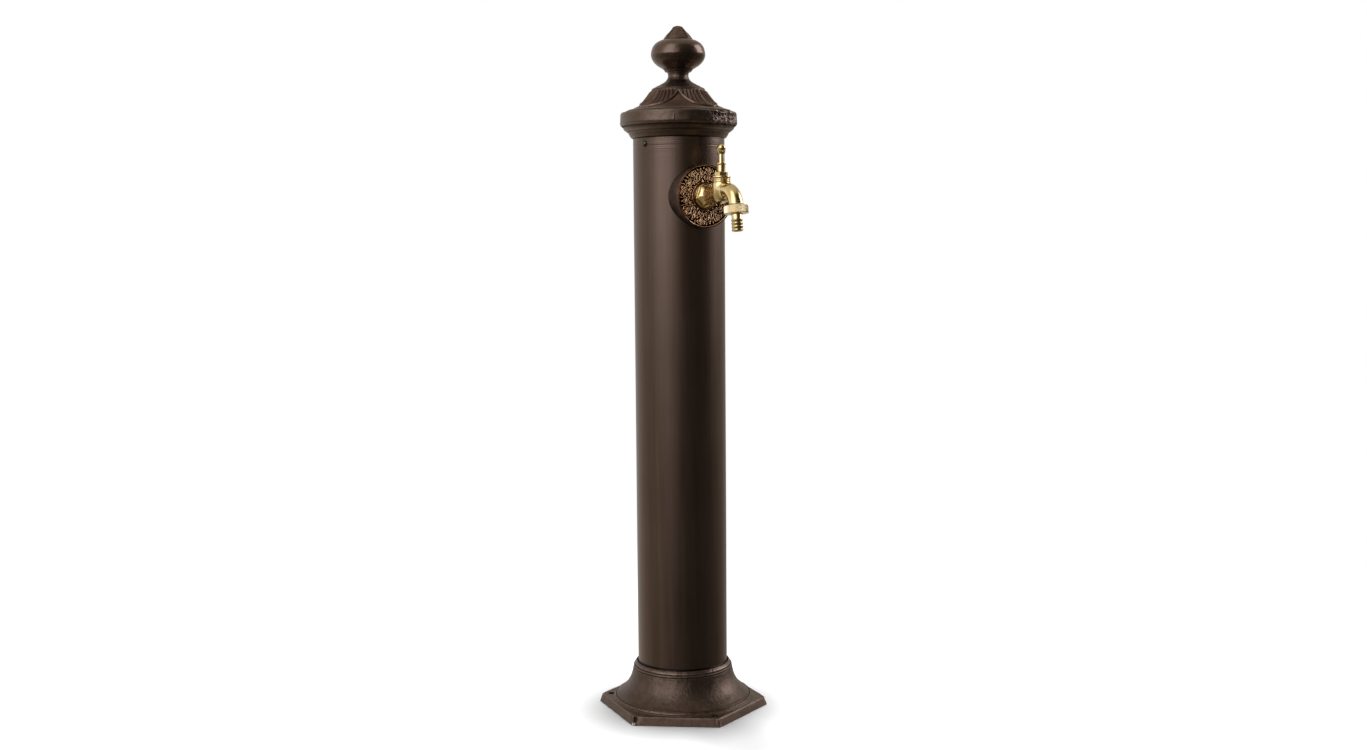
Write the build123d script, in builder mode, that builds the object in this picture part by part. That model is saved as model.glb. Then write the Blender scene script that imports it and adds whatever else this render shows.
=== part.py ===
from build123d import *
import os
from math import sin, cos, radians, sqrt

os.makedirs("parts", exist_ok=True)

# ---------------------------------------------------------------------------
# Garden water column with bib tap. Millimetres. Origin: centre of the foot's
# underside, on the column axis. +Z up, the tap points along -Y.
# ---------------------------------------------------------------------------

# column
tube_r = 60.0            # outside radius of the steel tube
tube_wall = 3.0
tube_in = tube_r - tube_wall
ledge_top = 44.0         # the tube stands on this ledge inside the base
tube_top = 759.3

# base casting
hex_r_bottom = 114.4     # corner radius at the ground
hex_r_top = 111.3        # corner radius at the plate's upper edge (drafted sides)
plate_h = 11.0
base_turn = -93.86       # angle of one plate corner; the base sits 3.9 deg off the tap
anchor_r = 98.0          # ground anchor holes on every second corner
anchor_hole_r = 4.5
socket_r = 60.5
ledge_in = 40.0
foot_bolt_r = 48.0       # circle of the three bolts that hold the tube
foot_plate_t = 8.0

# cap and finial
cap_bottom = 759.5
neck_top = 845.2
finial_top = 904.4
cap_screw_z = 750.3
cap_screw_turn = -165.4  # polar angle of the first screw, the other is opposite

# tap
tap_z = 682.5            # height of the inlet axis
hub_face = 72.2          # distance of the tap's seat from the column axis
boss_face = 67.5
boss_r = 39.5
rosette_r = 41.0
stem_s = 110.8           # distance of the stem axis from the column axis
out_s = 147.0            # union nut's centre
out_z = 663.8
out_tilt = 7.0           # the outlet leans outwards
seat_top = 691.2
mouth_z = 703.3
shank_r = 10.48          # half-inch pipe thread, outside
riser_s = 20.0           # riser pipe's distance from the column axis
run_fit = 0.05


def on_circle(n, r, start):
    return PolarLocations(r, n, start_angle=start)


# ---------------------------------------------------------------------------
# Base casting: hexagonal plate, concave flare, socket for the tube
# ---------------------------------------------------------------------------
flare = [
    (91.3, 13.4), (91.2, 15.4), (89.6, 16.3), (87.4, 17.6), (84.9, 19.6),
    (82.0, 22.2), (79.0, 25.0), (76.3, 28.0), (74.1, 31.2), (72.0, 34.8),
    (70.4, 38.4), (69.1, 42.2), (68.1, 46.0), (67.3, 49.4), (66.7, 52.6),
    (66.1, 55.2), (65.2, 57.2), (63.8, 59.4), (62.4, 61.2),
]
with BuildPart() as base_casting:
    with BuildSketch(Plane.XY):
        RegularPolygon(hex_r_bottom, 6, rotation=base_turn)
    with BuildSketch(Plane.XY.offset(plate_h)):
        RegularPolygon(hex_r_top, 6, rotation=base_turn)
    loft(ruled=True)
    with BuildSketch(Plane.XZ):
        with BuildLine():
            Polyline((30, 2), (94.5, 2), (94.5, plate_h), (93.2, 12.6), *flare[:1])
            Polyline(*flare[:2])
            Spline(*flare[1:])
            Polyline(flare[-1], (61.2, 62.0), (30, 62.0), (30, 2))
        make_face()
    revolve(axis=Axis.Z)
    # open underside, thin flare wall, ledge under the tube
    with BuildSketch(Plane.XZ):
        with BuildLine():
            Polyline((0, -1), (80, -1), (80, 8), (77, 15), (71.5, 22), (67.5, 29),
                     (65.5, 35.5), (ledge_in, 35.5), (ledge_in, ledge_top),
                     (socket_r, ledge_top), (socket_r, 63), (0, 63), (0, -1))
        make_face()
    revolve(axis=Axis.Z, mode=Mode.SUBTRACT)
    with BuildSketch(Plane.XY.offset(-1)):
        with on_circle(3, anchor_r, base_turn):
            Circle(anchor_hole_r)
    extrude(amount=plate_h + 8, mode=Mode.SUBTRACT)
    with BuildSketch(Plane.XY.offset(30)):
        with on_circle(3, foot_bolt_r, 90):
            Circle(4.5)
    extrude(amount=20, mode=Mode.SUBTRACT)
base_casting.part.label = "base_casting"
export_step(base_casting.part, "parts/base_casting.step")

# ---------------------------------------------------------------------------
# Column tube with the hole for the tap's shank and two screw holes
# ---------------------------------------------------------------------------
with BuildPart() as column_tube:
    with BuildSketch(Plane.XY.offset(ledge_top)):
        Circle(tube_r)
        Circle(tube_in, mode=Mode.SUBTRACT)
    extrude(amount=tube_top - ledge_top)
    with BuildSketch(Plane.XZ.offset(40)):
        with Locations((0, tap_z)):
            Circle(11.2)
    extrude(amount=30, mode=Mode.SUBTRACT)
    with BuildSketch(Plane(origin=(0, 0, cap_screw_z),
                           x_dir=(0, 0, 1),
                           z_dir=(cos(radians(cap_screw_turn)), sin(radians(cap_screw_turn)), 0))):
        Circle(2.6)
    extrude(amount=70, both=True, mode=Mode.SUBTRACT)
column_tube.part.label = "column_tube"
export_step(column_tube.part, "parts/column_tube.step")

# Plate welded into the tube's foot, with tapped holes and the pipe hole
with BuildPart() as tube_foot_plate:
    with BuildSketch(Plane.XY.offset(ledge_top)):
        Circle(tube_in)
        with on_circle(3, foot_bolt_r, 90):
            Circle(4.02, mode=Mode.SUBTRACT)
        with Locations((0, -riser_s)):
            Circle(10.9, mode=Mode.SUBTRACT)
        with Locations((0, 24)):
            Circle(7.0, mode=Mode.SUBTRACT)
    extrude(amount=foot_plate_t)
tube_foot_plate.part.label = "tube_foot_plate"
export_step(tube_foot_plate.part, "parts/tube_foot_plate.step")

with BuildPart() as foot_washers:
    with BuildSketch(Plane.XY.offset(33.9)):
        with on_circle(3, foot_bolt_r, 90):
            Circle(8.0)
        with on_circle(3, foot_bolt_r, 90):
            Circle(4.2, mode=Mode.SUBTRACT)
    extrude(amount=1.6)
foot_washers.part.label = "foot_washers"
export_step(foot_washers.part, "parts/foot_washers.step")

with BuildPart() as foot_bolts:
    with BuildSketch(Plane.XY.offset(28.6)):
        with on_circle(3, foot_bolt_r, 90):
            RegularPolygon(6.5, 6, major_radius=False)
    extrude(amount=5.3)
    with BuildSketch(Plane.XY.offset(33.9)):
        with on_circle(3, foot_bolt_r, 90):
            Circle(4.0)
    extrude(amount=22.5)
    chamfer(foot_bolts.faces().sort_by(Axis.Z)[-3:].edges(), 0.7)
foot_bolts.part.label = "foot_bolts"
export_step(foot_bolts.part, "parts/foot_bolts.step")

# ---------------------------------------------------------------------------
# Cap casting: skirt, band, concave leaf cone, collar and neck
# ---------------------------------------------------------------------------
with BuildPart() as cap_casting:
    with BuildSketch(Plane.XZ):
        with BuildLine():
            Polyline((60.2, cap_bottom), (61.9, cap_bottom))
            Spline((61.9, cap_bottom), (63.3, 761.3), (64.7, 763.5), (66.0, 766.0), (68.2, 767.9))
            Spline((68.2, 767.9), (70.8, 769.6), (72.4, 771.6), (73.0, 773.5))
            Polyline((73.0, 773.5), (74.6, 774.4), (76.2, 776.0), (76.8, 778.0),
                     (76.4, 784.0), (76.2, 790.2), (75.2, 791.9), (72.8, 793.2), (68.6, 794.0),
                     (67.4, 794.9))
            Spline((67.4, 794.9), (63.0, 796.9), (58.8, 799.0), (54.6, 800.9), (50.1, 803.5),
                   (46.6, 806.2), (43.6, 809.3), (40.9, 812.6), (38.6, 815.7), (36.5, 819.0),
                   (34.9, 822.3))
            Polyline((34.9, 822.3), (33.6, 823.4), (33.0, 824.0))
            Spline((33.0, 824.0), (30.0, 825.5), (26.6, 827.3), (23.0, 829.2), (19.6, 831.2),
                   (16.6, 833.4), (14.6, 836.0), (13.3, 839.4), (13.5, 842.2), (14.2, neck_top))
            Polyline((14.2, neck_top), (0, neck_top), (0, 818.0), (25.5, 818.0), (30.0, 814.0),
                     (36.0, 806.0), (45.0, 798.0), (57.0, 791.0), (68.5, 787.0), (69.5, 779.0),
                     (63.0, 771.0), (55.0, 764.5), (50.4, 762.0), (50.4, 738.0), (56.6, 738.0),
                     (56.6, cap_bottom), (60.2, cap_bottom))
        make_face()
    revolve(axis=Axis.Z)
    with BuildSketch(Plane.XY.offset(810)):
        Circle(5.25)
    extrude(amount=40, mode=Mode.SUBTRACT)
    with BuildSketch(Plane(origin=(0, 0, cap_screw_z),
                           x_dir=(0, 0, 1),
                           z_dir=(cos(radians(cap_screw_turn)), sin(radians(cap_screw_turn)), 0))):
        Circle(2.54)
    extrude(amount=70, both=True, mode=Mode.SUBTRACT)
cap_casting.part.label = "cap_casting"
export_step(cap_casting.part, "parts/cap_casting.step")

# Two dome-head screws through the tube into the cap's spigot
screw_dir = (cos(radians(cap_screw_turn)), sin(radians(cap_screw_turn)), 0)
with BuildPart() as cap_screws:
    with BuildSketch(Plane(origin=(0, 0, cap_screw_z), x_dir=screw_dir,
                           z_dir=(-screw_dir[1], screw_dir[0], 0))):
        with BuildLine():
            Polyline((47.5, 0), (47.5, 1.9), (48.2, 2.5), (60.15, 2.5), (60.15, 4.1), (60.7, 4.1))
            ThreePointArc((60.7, 4.1), (62.3, 2.6), (62.9, 0.5))
            Polyline((62.9, 0.5), (62.9, 0), (47.5, 0))
        make_face()
    revolve(axis=Axis((0, 0, cap_screw_z), screw_dir))
    mirror(about=Plane(origin=(0, 0, 0), z_dir=screw_dir))
cap_screws.part.label = "cap_screws"
export_step(cap_screws.part, "parts/cap_screws.step")

# Finial: flattened ball with a bud on top, tapped from below
with BuildPart() as finial:
    with BuildSketch(Plane.XZ):
        with BuildLine():
            Polyline((0, neck_top), (17.0, neck_top), (17.6, 846.6))
            Spline((17.6, 846.6), (20.4, 849.2), (24.4, 851.6), (28.2, 854.2), (31.6, 857.6),
                   (34.0, 861.2), (35.3, 865.2), (35.5, 868.6), (34.6, 873.2), (33.0, 877.4),
                   (30.4, 880.8), (27.2, 883.3), (22.9, 885.5), (18.9, 886.9))
            Polyline((18.9, 886.9), (18.5, 887.9))
            Spline((18.5, 887.9), (17.3, 889.6), (15.3, 892.1), (13.0, 894.6), (10.6, 896.9),
                   (8.6, 899.2), (7.0, 901.2), (5.2, 903.1), (2.8, 904.2), (0, finial_top))
            Line((0, finial_top), (0, neck_top))
        make_face()
    revolve(axis=Axis.Z)
    with BuildSketch(Plane.XY.offset(neck_top - 1)):
        Circle(5.02)
    extrude(amount=27, mode=Mode.SUBTRACT)
finial.part.label = "finial"
export_step(finial.part, "parts/finial.step")

with BuildPart() as finial_stud:
    with BuildSketch(Plane.XY.offset(800)):
        Circle(5.0)
    extrude(amount=70)
    chamfer(finial_stud.faces().filter_by(Axis.Z).edges(), 0.8)
finial_stud.part.label = "finial_stud"
export_step(finial_stud.part, "parts/finial_stud.step")

with BuildPart() as finial_washer:
    with BuildSketch(Plane.XY.offset(816)):
        Circle(11.0)
        Circle(5.3, mode=Mode.SUBTRACT)
    extrude(amount=2.0)
finial_washer.part.label = "finial_washer"
export_step(finial_washer.part, "parts/finial_washer.step")

with BuildPart() as finial_nut:
    with BuildSketch(Plane.XY.offset(808)):
        RegularPolygon(8.5, 6, major_radius=False)
        Circle(5.02, mode=Mode.SUBTRACT)
    extrude(amount=8.0)
finial_nut.part.label = "finial_nut"
export_step(finial_nut.part, "parts/finial_nut.step")

# ---------------------------------------------------------------------------
# Boss saddled on the tube, and the rosette in front of it
# ---------------------------------------------------------------------------
with BuildPart() as tap_boss:
    with BuildSketch(Plane.XZ.offset(40)):
        with Locations((0, tap_z)):
            Circle(boss_r)
    extrude(amount=boss_face - 40)
    fillet(tap_boss.faces().sort_by(Axis.Y)[0].edges(), 1.2)
    with BuildSketch(Plane.XY.offset(tap_z - 60)):
        Circle(tube_r)
    extrude(amount=120, mode=Mode.SUBTRACT)
    with BuildSketch(Plane.XZ.offset(30)):
        with Locations((0, tap_z)):
            Circle(10.9)
    extrude(amount=50, mode=Mode.SUBTRACT)
tap_boss.part.label = "tap_boss"
export_step(tap_boss.part, "parts/tap_boss.step")

with BuildPart() as rosette:
    with BuildSketch(Plane.YZ):
        with BuildLine():
            Polyline((-boss_face, tap_z + 10.7), (-boss_face, tap_z + rosette_r - 0.8),
                     (-boss_face - 0.8, tap_z + rosette_r), (-boss_face - 3.0, tap_z + rosette_r))
            ThreePointArc((-boss_face - 3.0, tap_z + rosette_r),
                          (-boss_face - 4.3, tap_z + rosette_r - 1.7),
                          (-boss_face - 2.6, tap_z + rosette_r - 3.2))
            Polyline((-boss_face - 2.6, tap_z + rosette_r - 3.2), (-boss_face - 2.2, tap_z + 17.8),
                     (-hub_face + 0.4, tap_z + 16.8), (-hub_face, tap_z + 16.2),
                     (-hub_face, tap_z + 10.7), (-boss_face, tap_z + 10.7))
        make_face()
    revolve(axis=Axis((0, 0, tap_z), (0, 1, 0)))
rosette.part.label = "rosette"
export_step(rosette.part, "parts/rosette.step")

# ---------------------------------------------------------------------------
# Tap body: threaded shank, hexagonal hub, barrel, valve chamber, spout
# ---------------------------------------------------------------------------
tilt = radians(out_tilt)
out_up = (0, sin(tilt), cos(tilt))            # along the outlet, back towards the spout
out_plane = Plane(origin=(0, -out_s, out_z), x_dir=(1, 0, 0), z_dir=(0, -cos(tilt), sin(tilt)))
out_axis = Axis((0, -out_s, out_z), out_up)
bend_r = 22.0
nut_h = 5.1
end_y = -out_s + sin(tilt) * (nut_h + 0.2)
end_z = out_z + cos(tilt) * (nut_h + 0.2)
turn = radians(90 - out_tilt)
start_y = end_y + bend_r * sin(turn)
start_z = end_z + bend_r * (1 - cos(turn))
mid_y = start_y - bend_r * sin(turn / 2)
mid_z = start_z - bend_r * (1 - cos(turn / 2))

with BuildPart() as tap_body:
    # shank and barrel along the inlet axis
    with BuildSketch(Plane.YZ):
        with BuildLine():
            Polyline((-38.0, tap_z), (-38.0, tap_z + 9.6), (-38.9, tap_z + shank_r),
                     (-hub_face, tap_z + shank_r), (-hub_face, tap_z + 15.5),
                     (-hub_face - 0.4, tap_z + 15.9), (-hub_face - 1.2, tap_z + 15.9))
            Spline((-hub_face - 1.2, tap_z + 15.9), (-hub_face - 3.8, tap_z + 15.2),
                   (-hub_face - 6.8, tap_z + 13.1), (-82.8, tap_z + 10.8), (-87.4, tap_z + 9.7),
                   (-92.0, tap_z + 9.5))
            Polyline((-92.0, tap_z + 9.5), (-stem_s, tap_z + 9.8), (-stem_s, tap_z), (-38.0, tap_z))
        make_face()
    revolve(axis=Axis((0, 0, tap_z), (0, 1, 0)))
    # six wrench flats cut into the flared hub, over a round flange
    with BuildSketch(Plane.XZ.offset(hub_face + 1.2)):
        with Locations((0, tap_z)):
            Circle(18.0)
            RegularPolygon(13.3, 6, major_radius=False, rotation=12, mode=Mode.SUBTRACT)
    extrude(amount=8.0, mode=Mode.SUBTRACT)
    # valve chamber
    with BuildSketch(Plane.XZ.offset(stem_s)):
        with BuildLine():
            Polyline((0, tap_z - 9.9), (2.0, tap_z - 9.9))
            Spline((2.0, tap_z - 9.9), (7.6, tap_z - 7.0), (10.6, tap_z - 0.5), (11.5, tap_z + 7.5),
                   (11.5, 697.0))
            Polyline((11.5, 697.0), (11.5, 697.7), (10.8, 698.3), (10.8, 699.2), (11.4, 699.8),
                     (11.4, 700.7), (10.8, 701.2), (10.8, 701.9), (11.3, 702.4), (11.3, mouth_z),
                     (0, mouth_z), (0, tap_z - 9.9))
        make_face()
    revolve(axis=Axis((0, -stem_s, 0), (0, 0, 1)))
    # spout: straight run out of the chamber, then one bend down to the outlet
    with BuildSketch(Plane(origin=(0, -stem_s, start_z), x_dir=(1, 0, 0), z_dir=(0, -1, 0))):
        Circle(9.2)
    extrude(amount=(-start_y) - stem_s + 0.01)
    with BuildLine() as bend:
        ThreePointArc((0, start_y, start_z), (0, mid_y, mid_z), (0, end_y, end_z))
    with BuildSketch(Plane(origin=(0, start_y, start_z), x_dir=(1, 0, 0), z_dir=(0, -1, 0))):
        Circle(9.2)
    sweep(path=bend.line)
    # outlet thread
    with BuildSketch(out_plane):
        with BuildLine():
            Polyline((0, 0.55), (12.4, 0.55), (13.2, 1.35), (13.2, nut_h - 0.3),
                     (10.4, nut_h + 1.3), (0, nut_h + 1.3), (0, 0.55))
        make_face()
    revolve(axis=out_axis)
    # waterways: inlet bore, seat hole, chamber with raised seat, outlet
    with BuildSketch(Plane.XZ.offset(37)):
        with Locations((0, tap_z)):
            Circle(5.5)
    extrude(amount=stem_s - 37, mode=Mode.SUBTRACT)
    with BuildSketch(Plane.XZ.offset(stem_s)):
        with BuildLine():
            Polyline((0, tap_z - 5.4), (4.5, tap_z - 5.4), (4.5, seat_top), (6.2, seat_top),
                     (6.2, 689.4), (8.2, 689.4), (8.2, 695.6), (8.85, 695.6), (8.85, mouth_z + 1),
                     (0, mouth_z + 1), (0, tap_z - 5.4))
        make_face()
    revolve(axis=Axis((0, -stem_s, 0), (0, 0, 1)), mode=Mode.SUBTRACT)
    with BuildSketch(Plane(origin=(0, -stem_s - 7.0, 692.0), x_dir=(1, 0, 0),
                           z_dir=(0, start_y + stem_s + 7.0, start_z - 692.0))):
        Circle(4.6)
    extrude(amount=8.6, mode=Mode.SUBTRACT)
    with BuildSketch(Plane(origin=(0, start_y, start_z), x_dir=(1, 0, 0), z_dir=(0, -1, 0))):
        Circle(5.6)
    sweep(path=bend.line, mode=Mode.SUBTRACT)
    with BuildSketch(out_plane.offset(0)):
        with BuildLine():
            Polyline((0, 0), (5.6, 0), (5.6, nut_h + 0.2), (0, nut_h + 0.2), (0, 0))
        make_face()
    revolve(axis=out_axis, mode=Mode.SUBTRACT)
tap_body.part.label = "tap_body"
export_step(tap_body.part, "parts/tap_body.step")

# ---------------------------------------------------------------------------
# Inside the column: washer, backnut, elbow, riser
# ---------------------------------------------------------------------------
with BuildPart() as inlet_washer:
    with BuildSketch(Plane.XZ.offset(53.3)):
        with Locations((0, tap_z)):
            Circle(15.0)
            Circle(10.8, mode=Mode.SUBTRACT)
    extrude(amount=1.6)
inlet_washer.part.label = "inlet_washer"
export_step(inlet_washer.part, "parts/inlet_washer.step")

with BuildPart() as inlet_backnut:
    with BuildSketch(Plane.XZ.offset(47.8)):
        with Locations((0, tap_z)):
            RegularPolygon(13.5, 6, major_radius=False)
            Circle(10.53, mode=Mode.SUBTRACT)
    extrude(amount=5.5)
inlet_backnut.part.label = "inlet_backnut"
export_step(inlet_backnut.part, "parts/inlet_backnut.step")

with BuildPart() as pipe_elbow:
    with BuildSketch(Plane.XZ.offset(riser_s)):
        with Locations((0, tap_z)):
            Circle(13.4)
    extrude(amount=20.0)
    with BuildSketch(Plane.XZ.offset(38.0)):
        with Locations((0, tap_z)):
            Circle(15.0)
    extrude(amount=8.8)
    with BuildSketch(Plane.XY.offset(tap_z - 20)):
        with Locations((0, -riser_s)):
            Circle(13.4)
    extrude(amount=20.0)
    with BuildSketch(Plane.XY.offset(tap_z - 27)):
        with Locations((0, -riser_s)):
            Circle(15.0)
    extrude(amount=9.0)
    with Locations((0, -riser_s, tap_z)):
        Sphere(13.4)
    with BuildSketch(Plane.XZ.offset(riser_s)):
        with Locations((0, tap_z)):
            Circle(8.0)
    extrude(amount=30, mode=Mode.SUBTRACT)
    with BuildSketch(Plane.XZ.offset(37.0)):
        with Locations((0, tap_z)):
            Circle(10.53)
    extrude(amount=12, mode=Mode.SUBTRACT)
    with BuildSketch(Plane.XY.offset(tap_z)):
        with Locations((0, -riser_s)):
            Circle(8.0)
    extrude(amount=-30, mode=Mode.SUBTRACT)
    with BuildSketch(Plane.XY.offset(tap_z - 13)):
        with Locations((0, -riser_s)):
            Circle(10.53)
    extrude(amount=-16, mode=Mode.SUBTRACT)
pipe_elbow.part.label = "pipe_elbow"
export_step(pipe_elbow.part, "parts/pipe_elbow.step")

# Supply pipe, threaded at both ends; a relief groove ends the free inlet thread
# under the lower locknut
riser_bottom = 16.0
riser_top = tap_z - 13.5
riser_r = 10.65
riser_top_r = 10.40      # upper thread, sits in the elbow
with BuildPart() as riser_pipe:
    with BuildSketch(Plane.XZ.offset(riser_s)):
        with BuildLine():
            Polyline((8.0, riser_bottom), (9.9, riser_bottom), (shank_r, riser_bottom + 1.0),
                     (shank_r, riser_bottom + 21.0), (9.9, riser_bottom + 21.4),
                     (9.9, riser_bottom + 22.6), (shank_r, riser_bottom + 23.0),
                     (shank_r, 61.4), (riser_r, 62.0), (riser_r, riser_top - 17.5),
                     (riser_top_r, riser_top - 17.0), (riser_top_r, riser_top - 0.6),
                     (9.9, riser_top), (8.0, riser_top), (8.0, riser_bottom))
        make_face()
    revolve(axis=Axis((0, -riser_s, 0), (0, 0, 1)))
riser_pipe.part.label = "riser_pipe"
export_step(riser_pipe.part, "parts/riser_pipe.step")

with BuildPart() as riser_locknuts:
    with BuildSketch(Plane.XY.offset(ledge_top + foot_plate_t)):
        with Locations((0, -riser_s)):
            RegularPolygon(13.5, 6, major_radius=False)
            Circle(10.53, mode=Mode.SUBTRACT)
    extrude(amount=6.0)
    with BuildSketch(Plane.XY.offset(ledge_top - 6.0)):
        with Locations((0, -riser_s)):
            RegularPolygon(13.5, 6, major_radius=False)
            Circle(10.53, mode=Mode.SUBTRACT)
    extrude(amount=6.0)
riser_locknuts.part.label = "riser_locknuts"
export_step(riser_locknuts.part, "parts/riser_locknuts.step")

# ---------------------------------------------------------------------------
# Headwork: gasket, bonnet, packing, gland nut
# ---------------------------------------------------------------------------
spindle_r = 3.0
thread_r = 4.05
stem_axis = Axis((0, -stem_s, 0), (0, 0, 1))

with BuildPart() as headwork_gasket:
    with BuildSketch(Plane.XY.offset(mouth_z)):
        with Locations((0, -stem_s)):
            Circle(11.0)
            Circle(8.95, mode=Mode.SUBTRACT)
    extrude(amount=0.7)
headwork_gasket.part.label = "headwork_gasket"
export_step(headwork_gasket.part, "parts/headwork_gasket.step")

with BuildPart() as headwork_bonnet:
    with BuildSketch(Plane.XZ.offset(stem_s)):
        with BuildLine():
            Polyline((7.0, 696.4), (8.8, 696.4), (8.8, 704.0), (11.2, 704.0), (11.5, 704.4),
                     (11.5, 705.9), (11.0, 706.4), (7.6, 706.8), (7.4, 711.0), (4.35, 711.3),
                     (4.35, 717.5), (3.85, 717.5), (3.85, 712.2), (spindle_r + run_fit, 712.2),
                     (spindle_r + run_fit, 710.7), (thread_r + run_fit, 710.7),
                     (thread_r + run_fit, 701.2), (7.0, 701.2), (7.0, 696.4))
        make_face()
    revolve(axis=stem_axis)
    with BuildSketch(Plane.XY.offset(706.3)):
        with Locations((0, -stem_s)):
            RegularPolygon(7.6, 6, major_radius=False, rotation=-14)
            Circle(6.0, mode=Mode.SUBTRACT)
    extrude(amount=4.9)
headwork_bonnet.part.label = "headwork_bonnet"
export_step(headwork_bonnet.part, "parts/headwork_bonnet.step")

with BuildPart() as gland_packing:
    with BuildSketch(Plane.XY.offset(712.3)):
        with Locations((0, -stem_s)):
            Circle(3.8)
            Circle(spindle_r + 0.02, mode=Mode.SUBTRACT)
    extrude(amount=4.8)
gland_packing.part.label = "gland_packing"
export_step(gland_packing.part, "parts/gland_packing.step")

with BuildPart() as gland_nut:
    with BuildSketch(Plane.XZ.offset(stem_s)):
        with BuildLine():
            Polyline((4.4, 711.6), (5.1, 711.6), (5.1, 720.2), (5.7, 720.7), (5.95, 721.2),
                     (5.95, 722.2), (5.6, 722.8), (spindle_r + run_fit, 722.8),
                     (spindle_r + run_fit, 717.6), (4.4, 717.6), (4.4, 711.6))
        make_face()
    revolve(axis=stem_axis)
gland_nut.part.label = "gland_nut"
export_step(gland_nut.part, "parts/gland_nut.step")

# ---------------------------------------------------------------------------
# Valve: jumper, seat washer and its nut
# ---------------------------------------------------------------------------
with BuildPart() as seat_washer:
    with BuildSketch(Plane.XY.offset(seat_top + 0.1)):
        with Locations((0, -stem_s)):
            Circle(6.0)
            Circle(1.55, mode=Mode.SUBTRACT)
    extrude(amount=2.4)
seat_washer.part.label = "seat_washer"
export_step(seat_washer.part, "parts/seat_washer.step")

with BuildPart() as jumper_valve:
    with BuildSketch(Plane.XZ.offset(stem_s)):
        with BuildLine():
            Polyline((0, 688.0), (1.5, 688.0), (1.5, seat_top + 2.5), (6.4, seat_top + 2.5),
                     (6.4, seat_top + 4.1), (5.4, seat_top + 4.5), (2.0, seat_top + 4.5),
                     (2.0, 702.6), (1.6, 703.0), (0, 703.0), (0, 688.0))
        make_face()
    revolve(axis=stem_axis)
jumper_valve.part.label = "jumper_valve"
export_step(jumper_valve.part, "parts/jumper_valve.step")

with BuildPart() as seat_washer_nut:
    with BuildSketch(Plane.XY.offset(689.0)):
        with Locations((0, -stem_s)):
            RegularPolygon(2.75, 6, major_radius=False)
            Circle(1.52, mode=Mode.SUBTRACT)
    extrude(amount=2.25)
seat_washer_nut.part.label = "seat_washer_nut"
export_step(seat_washer_nut.part, "parts/seat_washer_nut.step")

# ---------------------------------------------------------------------------
# Spindle and T handle
# ---------------------------------------------------------------------------
with BuildPart() as spindle:
    with BuildSketch(Plane.XZ.offset(stem_s)):
        with BuildLine():
            Polyline((2.06, 696.1), (3.6, 696.1), (thread_r, 696.6), (thread_r, 705.6),
                     (3.5, 706.1), (spindle_r, 706.1), (spindle_r, 741.2), (0, 741.2),
                     (0, 703.4), (2.06, 703.4), (2.06, 696.1))
        make_face()
    revolve(axis=stem_axis)
    with BuildSketch(Plane.XZ.offset(stem_s - 12)):
        with Locations((0, 737.0)):
            Circle(1.0)
    extrude(amount=24, mode=Mode.SUBTRACT)
spindle.part.label = "spindle"
export_step(spindle.part, "parts/spindle.step")

bar_turn = -118.5         # polar angle of the bar, seen from above
bar_z = 740.0
bar_dir = (cos(radians(bar_turn)), sin(radians(bar_turn)), 0)
bar_r = 2.5
ball_x = 19.5             # the ball's centre sits on the bar's axis
ball_r = 4.9
ball_out = ball_x + sqrt(ball_r**2 - 1.0)
ball_in = ball_x - sqrt(ball_r**2 - bar_r**2)
with BuildPart() as t_handle:
    with BuildSketch(Plane.XZ.offset(stem_s)):
        with BuildLine():
            Polyline((0, 733.4), (4.1, 733.4), (4.7, 734.4))
            ThreePointArc((4.7, 734.4), (5.4, 739.6), (3.8, 744.0))
            ThreePointArc((3.8, 744.0), (2.4, 744.9), (0.8, 745.2))
            Polyline((0.8, 745.2), (0, 745.2), (0, 733.4))
        make_face()
    revolve(axis=stem_axis)
    # bar with a ball at each end
    with BuildSketch(Plane(origin=(0, -stem_s, bar_z), x_dir=bar_dir,
                           z_dir=(bar_dir[1], -bar_dir[0], 0))):
        with BuildLine():
            Polyline((-ball_out, 1.0), (-ball_out, 0), (ball_out, 0), (ball_out, 1.0))
            ThreePointArc((ball_out, 1.0), (ball_x, ball_r), (ball_in, bar_r))
            Line((ball_in, bar_r), (-ball_in, bar_r))
            ThreePointArc((-ball_in, bar_r), (-ball_x, ball_r), (-ball_out, 1.0))
        make_face()
    revolve(axis=Axis((0, -stem_s, bar_z), bar_dir))
    with BuildSketch(Plane.XY.offset(733)):
        with Locations((0, -stem_s)):
            Circle(spindle_r + 0.02)
    extrude(amount=8.25, mode=Mode.SUBTRACT)
    with BuildSketch(Plane.XZ.offset(stem_s - 12)):
        with Locations((0, 737.0)):
            Circle(1.0)
    extrude(amount=24, mode=Mode.SUBTRACT)
t_handle.part.label = "t_handle"
export_step(t_handle.part, "parts/t_handle.step")

with BuildPart() as handle_pin:
    with BuildSketch(Plane.XZ.offset(stem_s - 4.6)):
        with Locations((0, 737.0)):
            Circle(0.98)
    extrude(amount=9.2)
handle_pin.part.label = "handle_pin"
export_step(handle_pin.part, "parts/handle_pin.step")

# ---------------------------------------------------------------------------
# Hose union: nut, washer, barbed tail (drawn along the leaning outlet axis)
# ---------------------------------------------------------------------------
with BuildPart() as union_nut:
    with BuildSketch(out_plane):
        with BuildLine():
            Polyline((13.26, nut_h), (14.5, nut_h), (15.4, nut_h - 0.9), (15.4, -nut_h + 0.9),
                     (14.5, -nut_h), (7.7, -nut_h), (7.7, -3.4), (13.26, -3.4), (13.26, nut_h))
        make_face()
    revolve(axis=out_axis)
union_nut.part.label = "union_nut"
export_step(union_nut.part, "parts/union_nut.step")

with BuildPart() as union_washer:
    with BuildSketch(out_plane):
        with BuildLine():
            Polyline((6.0, -1.55), (12.3, -1.55), (12.3, 0.45), (6.0, 0.45), (6.0, -1.55))
        make_face()
    revolve(axis=out_axis)
union_washer.part.label = "union_washer"
export_step(union_washer.part, "parts/union_washer.step")

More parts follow.
